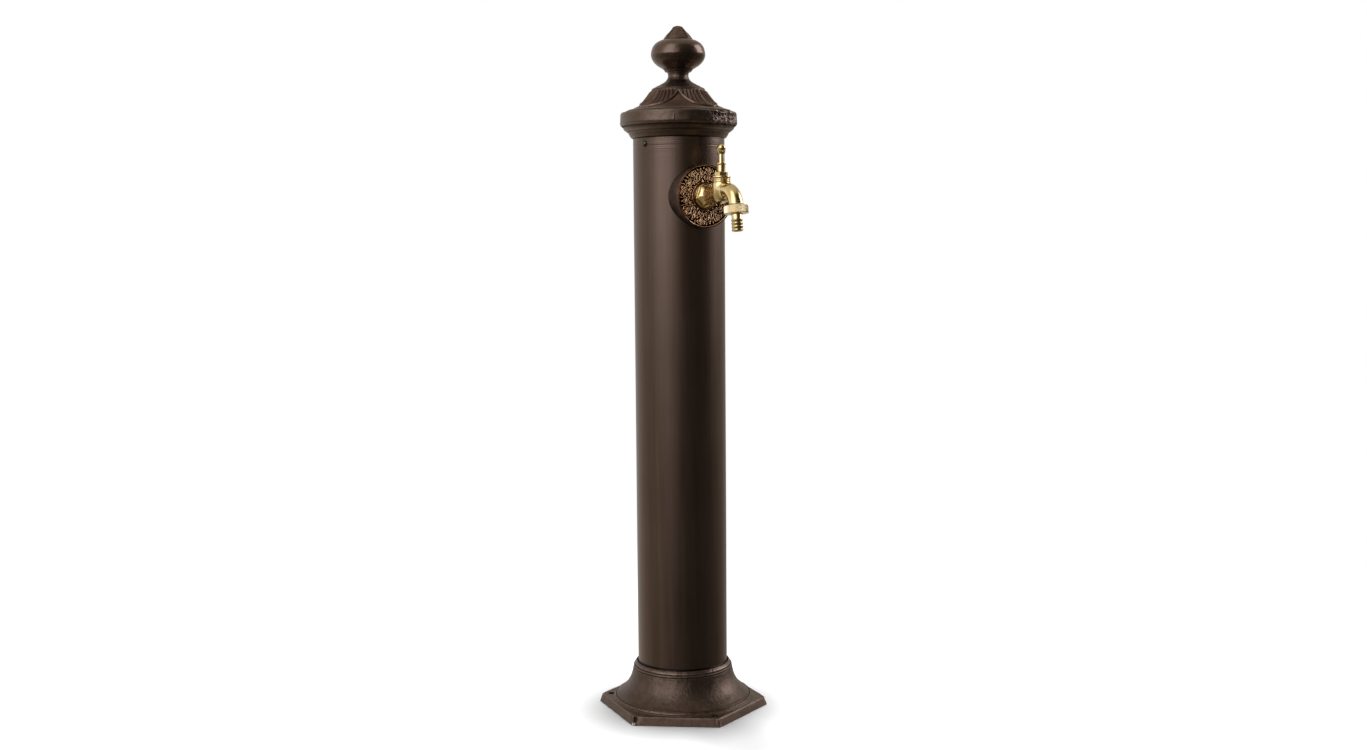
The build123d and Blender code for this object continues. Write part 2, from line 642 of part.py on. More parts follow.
tail_r = 6.25
barb_r = 7.2
with BuildPart() as hose_tail:
    with BuildSketch(out_plane):
        with BuildLine():
            Polyline((4.6, -1.55), (12.5, -1.55), (12.5, -3.33), (tail_r, -3.33), (tail_r, -11.6),
                     (barb_r, -12.1), (barb_r, -12.7), (tail_r, -15.2), (tail_r, -15.8),
                     (barb_r, -16.3), (barb_r, -16.9), (tail_r, -19.4), (tail_r, -20.0),
                     (barb_r, -20.5), (barb_r, -21.1), (tail_r, -23.6), (tail_r, -24.2),
                     (barb_r, -24.7), (barb_r, -25.3), (6.3, -26.5), (4.9, -26.6), (4.6, -26.3),
                     (4.6, -1.55))
        make_face()
    revolve(axis=out_axis)
hose_tail.part.label = "hose_tail"
export_step(hose_tail.part, "parts/hose_tail.step")
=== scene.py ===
import math

import bpy
import numpy as np
from mathutils import Matrix, Vector


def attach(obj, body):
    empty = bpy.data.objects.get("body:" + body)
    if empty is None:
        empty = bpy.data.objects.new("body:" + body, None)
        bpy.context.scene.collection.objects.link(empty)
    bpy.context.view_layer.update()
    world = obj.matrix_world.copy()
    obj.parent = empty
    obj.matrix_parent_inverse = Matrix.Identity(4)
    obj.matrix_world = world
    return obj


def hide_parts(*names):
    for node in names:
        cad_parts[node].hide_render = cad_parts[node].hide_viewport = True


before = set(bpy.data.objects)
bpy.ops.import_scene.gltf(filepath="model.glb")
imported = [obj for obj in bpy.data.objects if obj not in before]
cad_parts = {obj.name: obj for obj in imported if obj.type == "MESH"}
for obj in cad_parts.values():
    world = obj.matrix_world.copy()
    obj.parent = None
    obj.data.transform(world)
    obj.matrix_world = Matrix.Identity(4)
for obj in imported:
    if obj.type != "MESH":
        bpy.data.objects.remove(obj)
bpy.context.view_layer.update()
MM = 0.001
VIEW = math.radians(28.5)      # the photograph is taken 28.5 degrees to the left of the tap's direction


# ---------------------------------------------------------------------------
# Numbers: smooth steps, value noise, profiles
# ---------------------------------------------------------------------------
def sstep(x, a, b):
    t = np.clip((x - a) / (b - a), 0.0, 1.0)
    return t * t * (3.0 - 2.0 * t)


def gauss(x, centre, width):
    return np.exp(-((x - centre) / width) ** 2)


def lattice(ix, iy, iz, seed):
    h = (ix * 374761393 + iy * 668265263 + iz * 1442695041 + seed * 97531 + 7919) & 0xFFFFFFFF
    h = ((h ^ (h >> 15)) * 73244475) & 0xFFFFFFFF
    h = ((h ^ (h >> 13)) * 19349663) & 0xFFFFFFFF
    h = h ^ (h >> 16)
    return h / 2147483647.5 - 1.0


def noise(P, size, seed=0, stretch=(1.0, 1.0, 1.0)):
    q = P / (np.array(stretch) * size)
    i = np.floor(q).astype(np.int64)
    f = q - i
    f = f * f * f * (f * (f * 6 - 15) + 10)
    out = np.zeros(P.shape[:-1])
    for dx in (0, 1):
        wx = f[..., 0] if dx else 1 - f[..., 0]
        for dy in (0, 1):
            wy = f[..., 1] if dy else 1 - f[..., 1]
            for dz in (0, 1):
                wz = f[..., 2] if dz else 1 - f[..., 2]
                out += wx * wy * wz * lattice(i[..., 0] + dx, i[..., 1] + dy, i[..., 2] + dz, seed)
    return out


def fbm(P, size, seed=0, octaves=3, gain=0.5):
    out, amp = 0.0, 1.0
    for k in range(octaves):
        out = out + amp * noise(P, size / 2 ** k, seed + 17 * k)
        amp *= gain
    return out


def spline(pts, n=12):
    """Smooth curve through points, as a list of points."""
    p = np.array(pts, float)
    p = np.vstack([2 * p[0] - p[1], p, 2 * p[-1] - p[-2]])
    out = []
    for i in range(1, len(p) - 2):
        for t in np.linspace(0, 1, n, endpoint=False):
            a = 2 * p[i]
            b = p[i + 1] - p[i - 1]
            c = 2 * p[i - 1] - 5 * p[i] + 4 * p[i + 1] - p[i + 2]
            d = -p[i - 1] + 3 * p[i] - 3 * p[i + 1] + p[i + 2]
            out.append(0.5 * (a + b * t + c * t * t + d * t ** 3))
    out.append(p[-2])
    return [tuple(q) for q in out]


def profile(pts, hmax, soft=0.3, closed=True, kfac=2.2, dense=None):
    """Profile points: corners softened by about 'soft', rows closer together where it bends."""
    p = np.array(pts, float)
    if closed:
        p = np.vstack([p, p[:1]])
    seg = np.hypot(*np.diff(p, axis=0).T)
    keep = np.append(True, seg > 1e-6)
    p = p[keep]
    seg = np.hypot(*np.diff(p, axis=0).T)
    s = np.append(0, np.cumsum(seg))
    step = min(soft / 3.0, 0.15)
    n = int(s[-1] / step) + 2
    t = np.linspace(0, s[-1], n)
    q = np.stack([np.interp(t, s, p[:, 0]), np.interp(t, s, p[:, 1])], 1)
    if closed:
        q = q[:-1]
    sig = soft / (s[-1] / (n - 1))
    w = int(3 * sig) + 1
    k = np.exp(-0.5 * (np.arange(-w, w + 1) / sig) ** 2)
    k /= k.sum()
    if closed:
        e = np.vstack([q[-w:], q, q[:w]])
    else:
        e = np.vstack([2 * q[:1] - q[w:0:-1], q, 2 * q[-1:] - q[-2:-w - 2:-1]])
    f = np.stack([np.convolve(e[:, c], k, "valid") for c in (0, 1)], 1)
    if not closed:
        f[0], f[-1] = q[0], q[-1]
    g = np.vstack([f, f[:1]]) if closed else f
    d = np.diff(g, axis=0)
    sl = np.hypot(*d.T)
    ang = np.unwrap(np.arctan2(d[:, 1], d[:, 0]))
    kap = np.abs(np.gradient(ang)) / np.maximum(sl, 1e-6)
    kk = np.ones(9) / 9
    kap = np.convolve(kap, kk, "same")
    mid = 0.5 * (g[1:] + g[:-1])
    rate = 1.0 / hmax + kfac * np.minimum(kap, 4.0)
    if dense is not None:
        rate = np.maximum(rate, dense(mid[:, 0], mid[:, 1]))
    cum = np.append(0, np.cumsum(rate * sl))
    m = max(int(cum[-1]) + 1, 8)
    u = np.linspace(0, cum[-1], m + 1)
    out = np.stack([np.interp(u, cum, g[:, 0]), np.interp(u, cum, g[:, 1])], 1)
    return out[:-1] if closed else out


# ---------------------------------------------------------------------------
# Meshes
# ---------------------------------------------------------------------------
def signed_volume(V, F):
    a, b, c = V[F[:, 0]], V[F[:, 1]], V[F[:, 2]]
    v = np.einsum("ij,ij->i", a, np.cross(b, c)).sum()
    if F.shape[1] == 4:
        d = V[F[:, 3]]
        v += np.einsum("ij,ij->i", a, np.cross(c, d)).sum()
    return v


def mesh_object(name, V, faces, sharp=None, attrs=None):
    """V in mm; faces is a list of index arrays, each with 3 or 4 columns."""
    vol = sum(signed_volume(V - V.mean(0), f) for f in faces)
    if vol < 0:
        faces = [f[:, ::-1] for f in faces]
    me = bpy.data.meshes.new(name)
    flat = [row for f in faces for row in f.tolist()]
    me.from_pydata((V * MM).tolist(), [], flat)
    me.validate()
    me.shade_smooth()
    if sharp:
        me.set_sharp_from_angle(angle=math.radians(sharp))
    for key, val in (attrs or {}).items():
        a = me.attributes.new(key, "FLOAT", "POINT")
        a.data.foreach_set("value", np.asarray(val, np.float32).ravel())
    ob = bpy.data.objects.new(name, me)
    bpy.context.scene.collection.objects.link(ob)
    return ob


def quads(m, n, close_rows, close_cols=True, base=0):
    i = np.arange(m if close_rows else m - 1)
    j = np.arange(n if close_cols else n - 1)
    I, J = np.meshgrid(i, j, indexing="ij")
    a = I * n + J
    b = ((I + 1) % m) * n + J
    c = ((I + 1) % m) * n + (J + 1) % n
    d = I * n + (J + 1) % n
    return np.stack([a, b, c, d], -1).reshape(-1, 4) + base


def grid_normals(P, closed):
    dc = np.roll(P, -1, 1) - np.roll(P, 1, 1)
    dr = np.roll(P, -1, 0) - np.roll(P, 1, 0)
    if not closed:
        dr[0], dr[-1] = P[1] - P[0], P[-1] - P[-2]
    n = np.cross(dc, dr)
    return n / np.maximum(np.linalg.norm(n, axis=-1, keepdims=True), 1e-9)


def grid_object(name, P, closed=True, disp=None, sharp=None, attrs=None, poles=(False, False)):
    """Surface of revolution-like grid P[row, column, xyz]; rows closed, or ending in poles."""
    M, N = P.shape[:2]
    F = quads(M, N, closed)
    flat = P.reshape(-1, 3)
    if disp is not None:
        n = grid_normals(P, closed)
        if signed_volume(flat - flat.mean(0), F) > 0:
            n = -n
        P = P + n * disp[..., None]
        flat = P.reshape(-1, 3)
    faces = [F]
    if closed:
        return mesh_object(name, flat, faces, sharp, attrs)
    V = [flat]
    extra = []
    count = M * N
    for end, row in ((0, 0), (1, M - 1)):
        if not poles[end]:
            continue
        centre = P[row].mean(0)
        V.append(centre[None])
        j = np.arange(N)
        ring = row * N + j
        nxt = row * N + (j + 1) % N
        tri = np.stack([ring, nxt, np.full(N, count)], 1)
        if end == 1:
            tri = tri[:, ::-1]
        extra.append(tri)
        count += 1
    V = np.vstack(V)
    if attrs:
        attrs = {k: np.append(np.asarray(v).ravel(), [0.0] * (len(V) - M * N)) for k, v in attrs.items()}
    return mesh_object(name, V, faces + extra, sharp, attrs)


Z_AXIS = ((0, 0, 0), (0, 0, 1), (0, -1, 0), (1, 0, 0))


def lathe_grid(prof, phis, axis=Z_AXIS):
    o, a, e1, e2 = (np.array(v, float) for v in axis)
    r = prof[:, 0][:, None, None]
    h = prof[:, 1][:, None, None]
    c = np.cos(phis)[None, :, None]
    s = np.sin(phis)[None, :, None]
    return o + h * a + r * (c * e1 + s * e2)


def lathe(name, pts, n, axis=Z_AXIS, hmax=1.0, soft=0.15, closed=True, kfac=2.2, wave=None, sharp=None):
    if closed:
        prof = profile(pts, hmax, soft, True, kfac)
    else:
        prof = profile(pts, hmax, soft, False, kfac)[1:-1]
    phis = np.linspace(0, 2 * math.pi, n, endpoint=False)
    P = lathe_grid(prof, phis, axis)
    disp = None
    if wave is not None:
        disp = wave(prof[:, 0][:, None], prof[:, 1][:, None], phis[None, :], P)
    return grid_object(name, P, closed, disp, sharp, None, (not closed, not closed))


def cut(ob, cutters):
    """Takes the cutters out of ob and keeps the result as ob's mesh."""
    for i, c in enumerate(cutters):
        m = ob.modifiers.new("cut%d" % i, "BOOLEAN")
        m.operation = "DIFFERENCE"
        m.object = c
        m.solver = "MANIFOLD"
    bpy.context.view_layer.update()
    ev = ob.evaluated_get(bpy.context.evaluated_depsgraph_get())
    me = bpy.data.meshes.new_from_object(ev)
    ob.modifiers.clear()
    old = ob.data
    ob.data = me
    bpy.data.meshes.remove(old)
    me.name = ob.name
    for c in cutters:
        data = c.data
        bpy.data.objects.remove(c)
        bpy.data.meshes.remove(data)
    return ob


def rod(name, a, b, r, n=48):
    """Plain cylinder from a to b, used only as a cutter."""
    a, b = np.array(a, float), np.array(b, float)
    d = (b - a) / np.linalg.norm(b - a)
    e1 = np.cross(d, (0.3, 0.5, 0.8))
    e1 /= np.linalg.norm(e1)
    e2 = np.cross(d, e1)
    t = np.linspace(0, 2 * math.pi, n, endpoint=False)[:, None]
    ring = r * (np.cos(t) * e1 + np.sin(t) * e2)
    V = np.vstack([a + ring, b + ring, a[None], b[None]])
    j = np.arange(n)
    k = (j + 1) % n
    side = np.stack([j, k, n + k, n + j], 1)
    ends = np.vstack([np.stack([k, j, np.full(n, 2 * n)], 1), np.stack([n + j, n + k, np.full(n, 2 * n + 1)], 1)])
    return mesh_object(name, V, [side, ends])


# signed distances ----------------------------------------------------------
def smin(a, b, k):
    h = np.clip(0.5 + 0.5 * (b - a) / k, 0, 1)
    return b * (1 - h) + a * h - k * h * (1 - h)


def smax(a, b, k):
    return -smin(-a, -b, k)


def polygon_table(pts, pad=4.0, res=0.1):
    """Signed distance to a closed outline in (r, h); the outline is mirrored across r = 0."""
    p = np.array(pts, float)
    lo = np.array([0.0, p[:, 1].min() - pad])
    hi = p.max(0) + pad
    r = np.arange(lo[0], hi[0] + res, res)
    h = np.arange(lo[1], hi[1] + res, res)
    R, H = np.meshgrid(r, h, indexing="ij")
    best = np.full(R.shape, 1e9)
    inside = np.zeros(R.shape, bool)
    q = np.roll(p, -1, 0)
    for (x0, y0), (x1, y1) in zip(p, q):
        if (y0 > H).any() or (y1 > H).any():
            cond = (y0 > H) != (y1 > H)
            if y1 != y0:
                inside ^= cond & (R < (x1 - x0) * (H - y0) / (y1 - y0) + x0)
        if abs(x0) < 1e-9 and abs(x1) < 1e-9:
            continue
        dx, dy = x1 - x0, y1 - y0
        L = dx * dx + dy * dy
        if L < 1e-12:
            continue
        t = np.clip(((R - x0) * dx + (H - y0) * dy) / L, 0, 1)
        best = np.minimum(best, np.hypot(R - x0 - t * dx, H - y0 - t * dy))
    return (lo, res, np.where(inside, -best, best).astype(np.float32))


def rev(table, r, h):
    lo, res, T = table
    a = np.clip((r - lo[0]) / res, 0, T.shape[0] - 1.001)
    b = np.clip((h - lo[1]) / res, 0, T.shape[1] - 1.001)
    i = a.astype(np.int32)
    j = b.astype(np.int32)
    a = a - i
    b = b - j
    return (T[i, j] * (1 - a) + T[i + 1, j] * a) * (1 - b) + (T[i, j + 1] * (1 - a) + T[i + 1, j + 1] * a) * b


def segment(a, b, U, W):
    dx, dy = b[0] - a[0], b[1] - a[1]
    t = np.clip(((U - a[0]) * dx + (W - a[1]) * dy) / (dx * dx + dy * dy), 0, 1)
    return np.hypot(U - a[0] - t * dx, W - a[1] - t * dy)


def sdf_object(name, f, lo, hi, h, newton=2, attrs=None):
    """Closed surface of f(x, y, z) = 0, as quads, one vertex in each cell that it crosses."""
    lo = np.array(lo, float)
    n = np.ceil((np.array(hi, float) - lo) / h).astype(int) + 1
    ax = [lo[k] + h * np.arange(n[k]) for k in range(3)]
    X, Y, Z = np.meshgrid(*ax, indexing="ij")
    D = f(X, Y, Z)
    del X, Y, Z
    D[np.abs(D) < 1e-5] = 1e-5
    S = D < 0
    shape = tuple(np.array(D.shape) - 1)
    acc = np.zeros(shape + (3,), np.float32)
    cnt = np.zeros(shape, np.int8)

    def corner(A, dx, dy, dz):
        return A[dx:dx + shape[0], dy:dy + shape[1], dz:dz + shape[2]]

    for axis in range(3):
        others = [k for k in range(3) if k != axis]
        for u in (0, 1):
            for w in (0, 1):
                off = [0, 0, 0]
                off[others[0]], off[others[1]] = u, w
                end = list(off)
                end[axis] = 1
                a, b = corner(D, *off), corner(D, *end)
                m = corner(S, *off) != corner(S, *end)
                t = np.where(m, a / np.where(m, a - b, 1), 0)
                acc[..., axis] += t
                acc[..., others[0]] += m * u
                acc[..., others[1]] += m * w
                cnt += m
    act = cnt > 0
    idx = np.full(shape, -1, np.int64)
    cells = np.argwhere(act)
    idx[act] = np.arange(len(cells))
    V = lo + h * (cells + acc[act] / cnt[act][:, None])
    F = []
    for axis in range(3):
        o1, o2 = [k for k in range(3) if k != axis]
        a = np.take(S, np.arange(S.shape[axis] - 1), axis)
        b = np.take(S, np.arange(1, S.shape[axis]), axis)
        e = np.argwhere(a != b)
        e = e[(e[:, o1] > 0) & (e[:, o2] > 0) & (e[:, o1] < S.shape[o1] - 1) & (e[:, o2] < S.shape[o2] - 1)]
        inside = a[tuple(e.T)]
        c = []
        for du, dw in ((0, 0), (1, 0), (1, 1), (0, 1)):
            g = e.copy()
            g[:, o1] -= du
            g[:, o2] -= dw
            c.append(idx[tuple(g.T)])
        q = np.stack(c, 1)
        flip = inside if axis != 1 else ~inside
        q[flip] = q[flip][:, ::-1]
        F.append(q)
    F = np.vstack(F)
    eps = 0.05
    for _ in range(newton):
        x, y, z = V.T
        d = f(x, y, z)
        g = np.stack([f(x + eps, y, z) - f(x - eps, y, z), f(x, y + eps, z) - f(x, y - eps, z),
                      f(x, y, z + eps) - f(x, y, z - eps)], 1) / (2 * eps)
        gg = np.maximum((g ** 2).sum(1), 0.2)
        V = V - np.clip(d / gg, -h, h)[:, None] * g
    return mesh_object(name, V, [F], None, attrs(V) if attrs else None)


# ---------------------------------------------------------------------------
# Materials
# ---------------------------------------------------------------------------
class Mat:
    def __init__(self, name):
        self.m = bpy.data.materials.new(name)
        self.m.use_nodes = True
        self.t = self.m.node_tree
        self.t.nodes.clear()
        self.out = self.t.nodes.new("ShaderNodeOutputMaterial")
        self.p = self.t.nodes.new("ShaderNodeBsdfPrincipled")
        self.t.links.new(self.p.outputs[0], self.out.inputs[0])
        self.co = self.t.nodes.new("ShaderNodeTexCoord").outputs["Object"]

    def link(self, src, dst):
        self.t.links.new(src, dst)

    def put(self, socket, value):
        if isinstance(value, bpy.types.NodeSocket):
            self.link(value, socket)
        else:
            socket.default_value = value

    def set(self, **kw):
        for k, v in kw.items():
            self.put(self.p.inputs[k.replace("_", " ")], v)

    def scaled(self, sx, sy, sz):
        n = self.t.nodes.new("ShaderNodeMapping")
        n.inputs["Scale"].default_value = (sx, sy, sz)
        self.link(self.co, n.inputs["Vector"])
        return n.outputs[0]

    def noise(self, scale, detail=3.0, rough=0.55, vec=None, out="Fac", distortion=0.0):
        n = self.t.nodes.new("ShaderNodeTexNoise")
        n.inputs["Scale"].default_value = scale
        n.inputs["Detail"].default_value = detail
        n.inputs["Roughness"].default_value = rough
        n.inputs["Distortion"].default_value = distortion
        self.link(vec or self.co, n.inputs["Vector"])
        return n.outputs[out]

    def voronoi(self, scale, vec=None, feature="F1"):
        n = self.t.nodes.new("ShaderNodeTexVoronoi")
        n.feature = feature
        n.inputs["Scale"].default_value = scale
        self.link(vec or self.co, n.inputs["Vector"])
        return n.outputs["Distance"]

    def attr(self, name):
        n = self.t.nodes.new("ShaderNodeAttribute")
        n.attribute_name = name
        return n.outputs["Fac"]

    def xyz(self, which):
        n = self.t.nodes.new("ShaderNodeSeparateXYZ")
        self.link(self.co, n.inputs[0])
        return n.outputs[which]

    def radius(self):
        n = self.t.nodes.new("ShaderNodeVectorMath")
        n.operation = "LENGTH"
        self.link(self.scaled(1, 1, 0), n.inputs[0])
        return n.outputs["Value"]

    def math(self, op, a, b=0.0, clamp=False):
        n = self.t.nodes.new("ShaderNodeMath")
        n.operation = op
        n.use_clamp = clamp
        self.put(n.inputs[0], a)
        self.put(n.inputs[1], b)
        return n.outputs[0]

    def rng(self, v, a, b, c=0.0, d=1.0, smooth=False):
        n = self.t.nodes.new("ShaderNodeMapRange")
        n.interpolation_type = "SMOOTHSTEP" if smooth else "LINEAR"
        self.link(v, n.inputs["Value"])
        for key, val in (("From Min", a), ("From Max", b), ("To Min", c), ("To Max", d)):
            n.inputs[key].default_value = val
        return n.outputs[0]

    def ramp(self, fac, stops, interp="EASE"):
        n = self.t.nodes.new("ShaderNodeValToRGB")
        n.color_ramp.interpolation = interp
        el = n.color_ramp.elements
        while len(el) > 1:
            el.remove(el[-1])
        el[0].position = stops[0][0]
        el[0].color = (*stops[0][1], 1)
        for pos, col in stops[1:]:
            e = el.new(pos)
            e.color = (*col, 1)
        self.link(fac, n.inputs[0])
        return n.outputs[0]

    def mix(self, fac, a, b, mode="MIX"):
        n = self.t.nodes.new("ShaderNodeMix")
        n.data_type = "RGBA"
        n.blend_type = mode
        n.clamp_factor = True
        self.put(n.inputs["Factor"], fac)
        for sock, val in ((n.inputs[6], a), (n.inputs[7], b)):
            if isinstance(val, tuple) and len(val) == 3:
                val = (*val, 1)
            self.put(sock, val)
        return n.outputs[2]

    def bump(self, height, strength, distance, normal=None):
        n = self.t.nodes.new("ShaderNodeBump")
        n.inputs["Strength"].default_value = strength
        n.inputs["Distance"].default_value = distance
        self.link(height, n.inputs["Height"])
        if normal is not None:
            self.link(normal, n.inputs["Normal"])
        return n.outputs[0]


def sum_of(m, *terms):
    out = None
    for v, k in terms:
        t = m.math("MULTIPLY", v, k)
        out = t if out is None else m.math("ADD", out, t)
    return out


def make_cast():
    """Satin brown paint over rough grey iron; "shade" is painted shade, dark in hollows; edges and crests are lightened
    as worn paint and painted highlight; "facet" roughens a patch.
    """
    m = Mat("cast_brown_paint")
    big = m.noise(16, 4, 0.6)
    mid = m.noise(120, 4, 0.6)
    fine = m.noise(650, 3, 0.65)
    shade = m.attr("shade")
    tone = m.ramp(sum_of(m, (big, 0.5), (mid, 0.5)),
                  [(0.32, (0.098, 0.065, 0.046)), (0.5, (0.122, 0.083, 0.060)), (0.68, (0.148, 0.103, 0.076))])
    rust = m.math("MULTIPLY", m.rng(m.radius(), 0.088, 0.104, 0, 1, True), m.rng(m.xyz(2), 0.016, 0.012, 0, 1, True))
    rust = m.math("MULTIPLY", rust, m.rng(m.noise(38, 4, 0.65), 0.38, 0.70, 0, 1, True))
    tone = m.mix(m.math("MULTIPLY", rust, 0.55), tone, (0.170, 0.098, 0.056))
    bud = m.math("MULTIPLY", m.rng(m.xyz(2), 0.888, 0.891, 0, 1, True), m.rng(m.noise(150, 3, 0.6), 0.40, 0.62, 0, 1, True))
    tone = m.mix(m.math("MULTIPLY", bud, 0.6), tone, (0.155, 0.082, 0.046))
    # the base casting, up to just under its rim bead, is darker in mottled patches
    low = m.rng(m.xyz(2), 0.064, 0.058, 0, 1, True)
    base_darkening = m.math("MULTIPLY", low, m.rng(m.noise(75, 4, 0.6), 0.34, 0.62, 0.12, 0.46))
    tone = m.mix(base_darkening, tone, (0.042, 0.028, 0.020))
    cone = m.math("MULTIPLY", m.rng(m.xyz(2), 0.7955, 0.7975, 0, 1, True), m.rng(m.xyz(2), 0.8225, 0.8205, 0, 1, True))
    tone = m.mix(m.math("MULTIPLY", cone, m.rng(m.noise(60, 3, 0.6), 0.32, 0.64, 0.25, 0.75)), tone, (0.140, 0.072, 0.050))
    pit = m.rng(m.voronoi(420), 0.05, 0.22, 0, 1, True)
    tone = m.mix(m.math("MULTIPLY", m.math("SUBTRACT", 1.0, pit), 0.30), tone, (0.035, 0.024, 0.018))
    # edges and crests lighter: worn paint and painted highlight
    wear_and_highlight = m.math("MULTIPLY", m.attr("wear_and_highlight"), m.rng(m.noise(190, 3, 0.6), 0.30, 0.60, 0.25, 1, True))
    tone = m.mix(m.math("MULTIPLY", wear_and_highlight, 0.70), tone, (0.300, 0.225, 0.175))
    tone = m.mix(m.math("MULTIPLY", shade, 0.88), tone, (0.010, 0.0065, 0.0048))
    tone = m.mix(m.attr("bare"), tone, (0.85, 0.82, 0.76))
    rough = m.rng(sum_of(m, (mid, 0.6), (fine, 0.4)), 0.32, 0.68, 0.30, 0.43)
    ball = m.math("MULTIPLY", m.rng(m.xyz(2), 0.846, 0.850, 0, 1, True), m.rng(m.xyz(2), 0.888, 0.885, 0, 1, True))
    rough = m.math("SUBTRACT", rough, m.math("MULTIPLY", ball, 0.11))
    rough = m.math("ADD", rough, m.rng(m.xyz(2), 0.060, 0.052, 0, 0.06))
    rough = m.math("ADD", rough, m.math("MULTIPLY", shade, 0.25), True)
    facet = m.attr("facet")
    h = sum_of(m, (fine, 0.30), (m.noise(240, 4, 0.65), 0.70), (pit, 0.20),
               (m.math("MULTIPLY", facet, m.noise(190, 3, 0.6)), 3.6))
    h = m.math("MULTIPLY", h, m.math("SUBTRACT", 1.0, m.math("MULTIPLY", ball, 0.80)))
    m.set(Base_Color=tone, Metallic=0.92, Roughness=rough, Normal=m.bump(h, 0.55, 0.0008))
    return m.m


def make_tube():
    """The same paint on a smooth steel tube, with faint long streaks and painted shade in the gaps at both ends."""
    m = Mat("tube_brown_paint")
    streak = m.noise(1.0, 4, 0.6, m.scaled(170, 170, 5))
    big = m.noise(9, 3, 0.5)
    z = m.xyz(2)
    tone = m.ramp(sum_of(m, (streak, 0.6), (big, 0.4)),
                  [(0.32, (0.104, 0.069, 0.049)), (0.5, (0.122, 0.083, 0.060)), (0.68, (0.140, 0.097, 0.071))])
    ringed = m.noise(1.0, 2, 0.5, m.scaled(14, 14, 800))
    near = m.rng(z, 0.715, 0.748, 0, 1, True)
    # painted shade in the gap above the base's rim and under the cap
    gap_shade = m.math("ADD", m.rng(z, 0.0638, 0.0628, 0, 1, True), m.rng(z, 0.7577, 0.7585, 0, 1, True), True)
    tone = m.mix(m.math("MULTIPLY", gap_shade, 0.93), tone, (0.006, 0.004, 0.003))
    fine = m.noise(900, 2, 0.5)
    rough = m.rng(sum_of(m, (streak, 0.5), (big, 0.3), (fine, 0.2)), 0.3, 0.7, 0.29, 0.37)
    h = sum_of(m, (fine, 0.22), (streak, 0.30), (m.math("MULTIPLY", ringed, near), 1.9))
    m.set(Base_Color=tone, Metallic=0.92, Roughness=rough, Normal=m.bump(h, 0.22, 0.0005))
    return m.m


def make_brass(name, light, dark, r0, r1, bump=0.05, arm=False):
    m = Mat(name)
    big = m.noise(70, 3, 0.55)
    fine = m.noise(900, 3, 0.6)
    tone = m.ramp(big, [(0.34, dark), (0.62, light)])
    rough = m.rng(sum_of(m, (big, 0.45), (m.noise(260, 3, 0.6), 0.55)), 0.32, 0.68, r0, r1)
    if arm:                                            # the neck behind the valve chamber is less polished
        neck = m.math("MULTIPLY", m.rng(m.xyz(1), -0.104, -0.098, 0, 0.10, True), m.rng(m.xyz(1), -0.082, -0.086, 0, 1, True))
        rough = m.math("ADD", rough, neck)
    h = sum_of(m, (fine, 0.4), (m.noise(300, 2, 0.5), 0.6))
    m.set(Base_Color=tone, Metallic=1.0, Roughness=rough, Normal=m.bump(h, bump, 0.0004))
    return m.m


def make_bronze():
    """Antiqued relief: bright copper-gold on the tops, near black in the hollows."""
    m = Mat("bronze_relief")
    rel = m.attr("relief")
    edge = m.attr("crest")
    n = m.noise(330, 4, 0.65)
    v = sum_of(m, (rel, 0.82), (n, 0.28))
    tone = m.ramp(v, [(0.20, (0.012, 0.004, 0.002)), (0.46, (0.074, 0.029, 0.015)), (0.66, (0.34, 0.150, 0.072)),
                      (0.89, (1.0, 0.69, 0.42))])
    band = m.rng(edge, 0.35, 0.75, 0, 1, True)
    copper = m.ramp(m.noise(120, 4, 0.6), [(0.3, (0.070, 0.033, 0.020)), (0.7, (0.165, 0.086, 0.053))])
    tone = m.mix(band, tone, copper)
    rough = m.rng(v, 0.2, 0.9, 0.55, 0.17)
    m.set(Base_Color=tone, Metallic=0.95, Roughness=rough, Normal=m.bump(m.noise(800, 3, 0.6), 0.22, 0.0004))
    return m.m


def make_steel(name, light, dark, r0, r1, metallic=1.0):
    m = Mat(name)
    a = m.noise(90, 4, 0.6)
    f = m.noise(650, 3, 0.6)
    tone = m.ramp(sum_of(m, (a, 0.7), (f, 0.3)), [(0.32, dark), (0.66, light)])
    m.set(Base_Color=tone, Metallic=metallic, Roughness=m.rng(f, 0.3, 0.7, r0, r1),
          Normal=m.bump(sum_of(m, (f, 0.6), (a, 0.4)), 0.12, 0.0004))
    return m.m


def make_soft(name, light, dark, r0, r1, scale=500):
    m = Mat(name)
    f = m.noise(scale, 4, 0.6)
    b = m.noise(60, 3, 0.6)
    tone = m.ramp(sum_of(m, (b, 0.5), (f, 0.5)), [(0.3, dark), (0.7, light)])
    m.set(Base_Color=tone, Roughness=m.rng(f, 0.3, 0.7, r0, r1), Normal=m.bump(f, 0.25, 0.0004))
    return m.m


CAST = make_cast()
TUBE = make_tube()
BRASS = make_brass("polished_brass", (0.87, 0.69, 0.35), (0.78, 0.58, 0.25), 0.10, 0.20)
BODY = make_brass("polished_body_brass", (0.87, 0.69, 0.35), (0.78, 0.58, 0.25), 0.11, 0.20, 0.05, True)
NUT = make_brass("pale_brass", (0.93, 0.80, 0.52), (0.84, 0.66, 0.36), 0.24, 0.38, 0.10)
BRONZE = make_bronze()
ZINC = make_steel("zinc_plate", (0.66, 0.66, 0.64), (0.50, 0.50, 0.49), 0.26, 0.42)
GALV = make_steel("galvanised_pipe", (0.58, 0.60, 0.61), (0.42, 0.44, 0.46), 0.36, 0.55)
DARK = make_steel("dark_screw", (0.10, 0.082, 0.068), (0.055, 0.042, 0.034), 0.24, 0.38, 0.9)
RUBBER = make_soft("black_rubber", (0.045, 0.044, 0.043), (0.020, 0.020, 0.020), 0.60, 0.80)
FIBRE = make_soft("red_fibre", (0.48, 0.17, 0.10), (0.34, 0.11, 0.06), 0.55, 0.75)
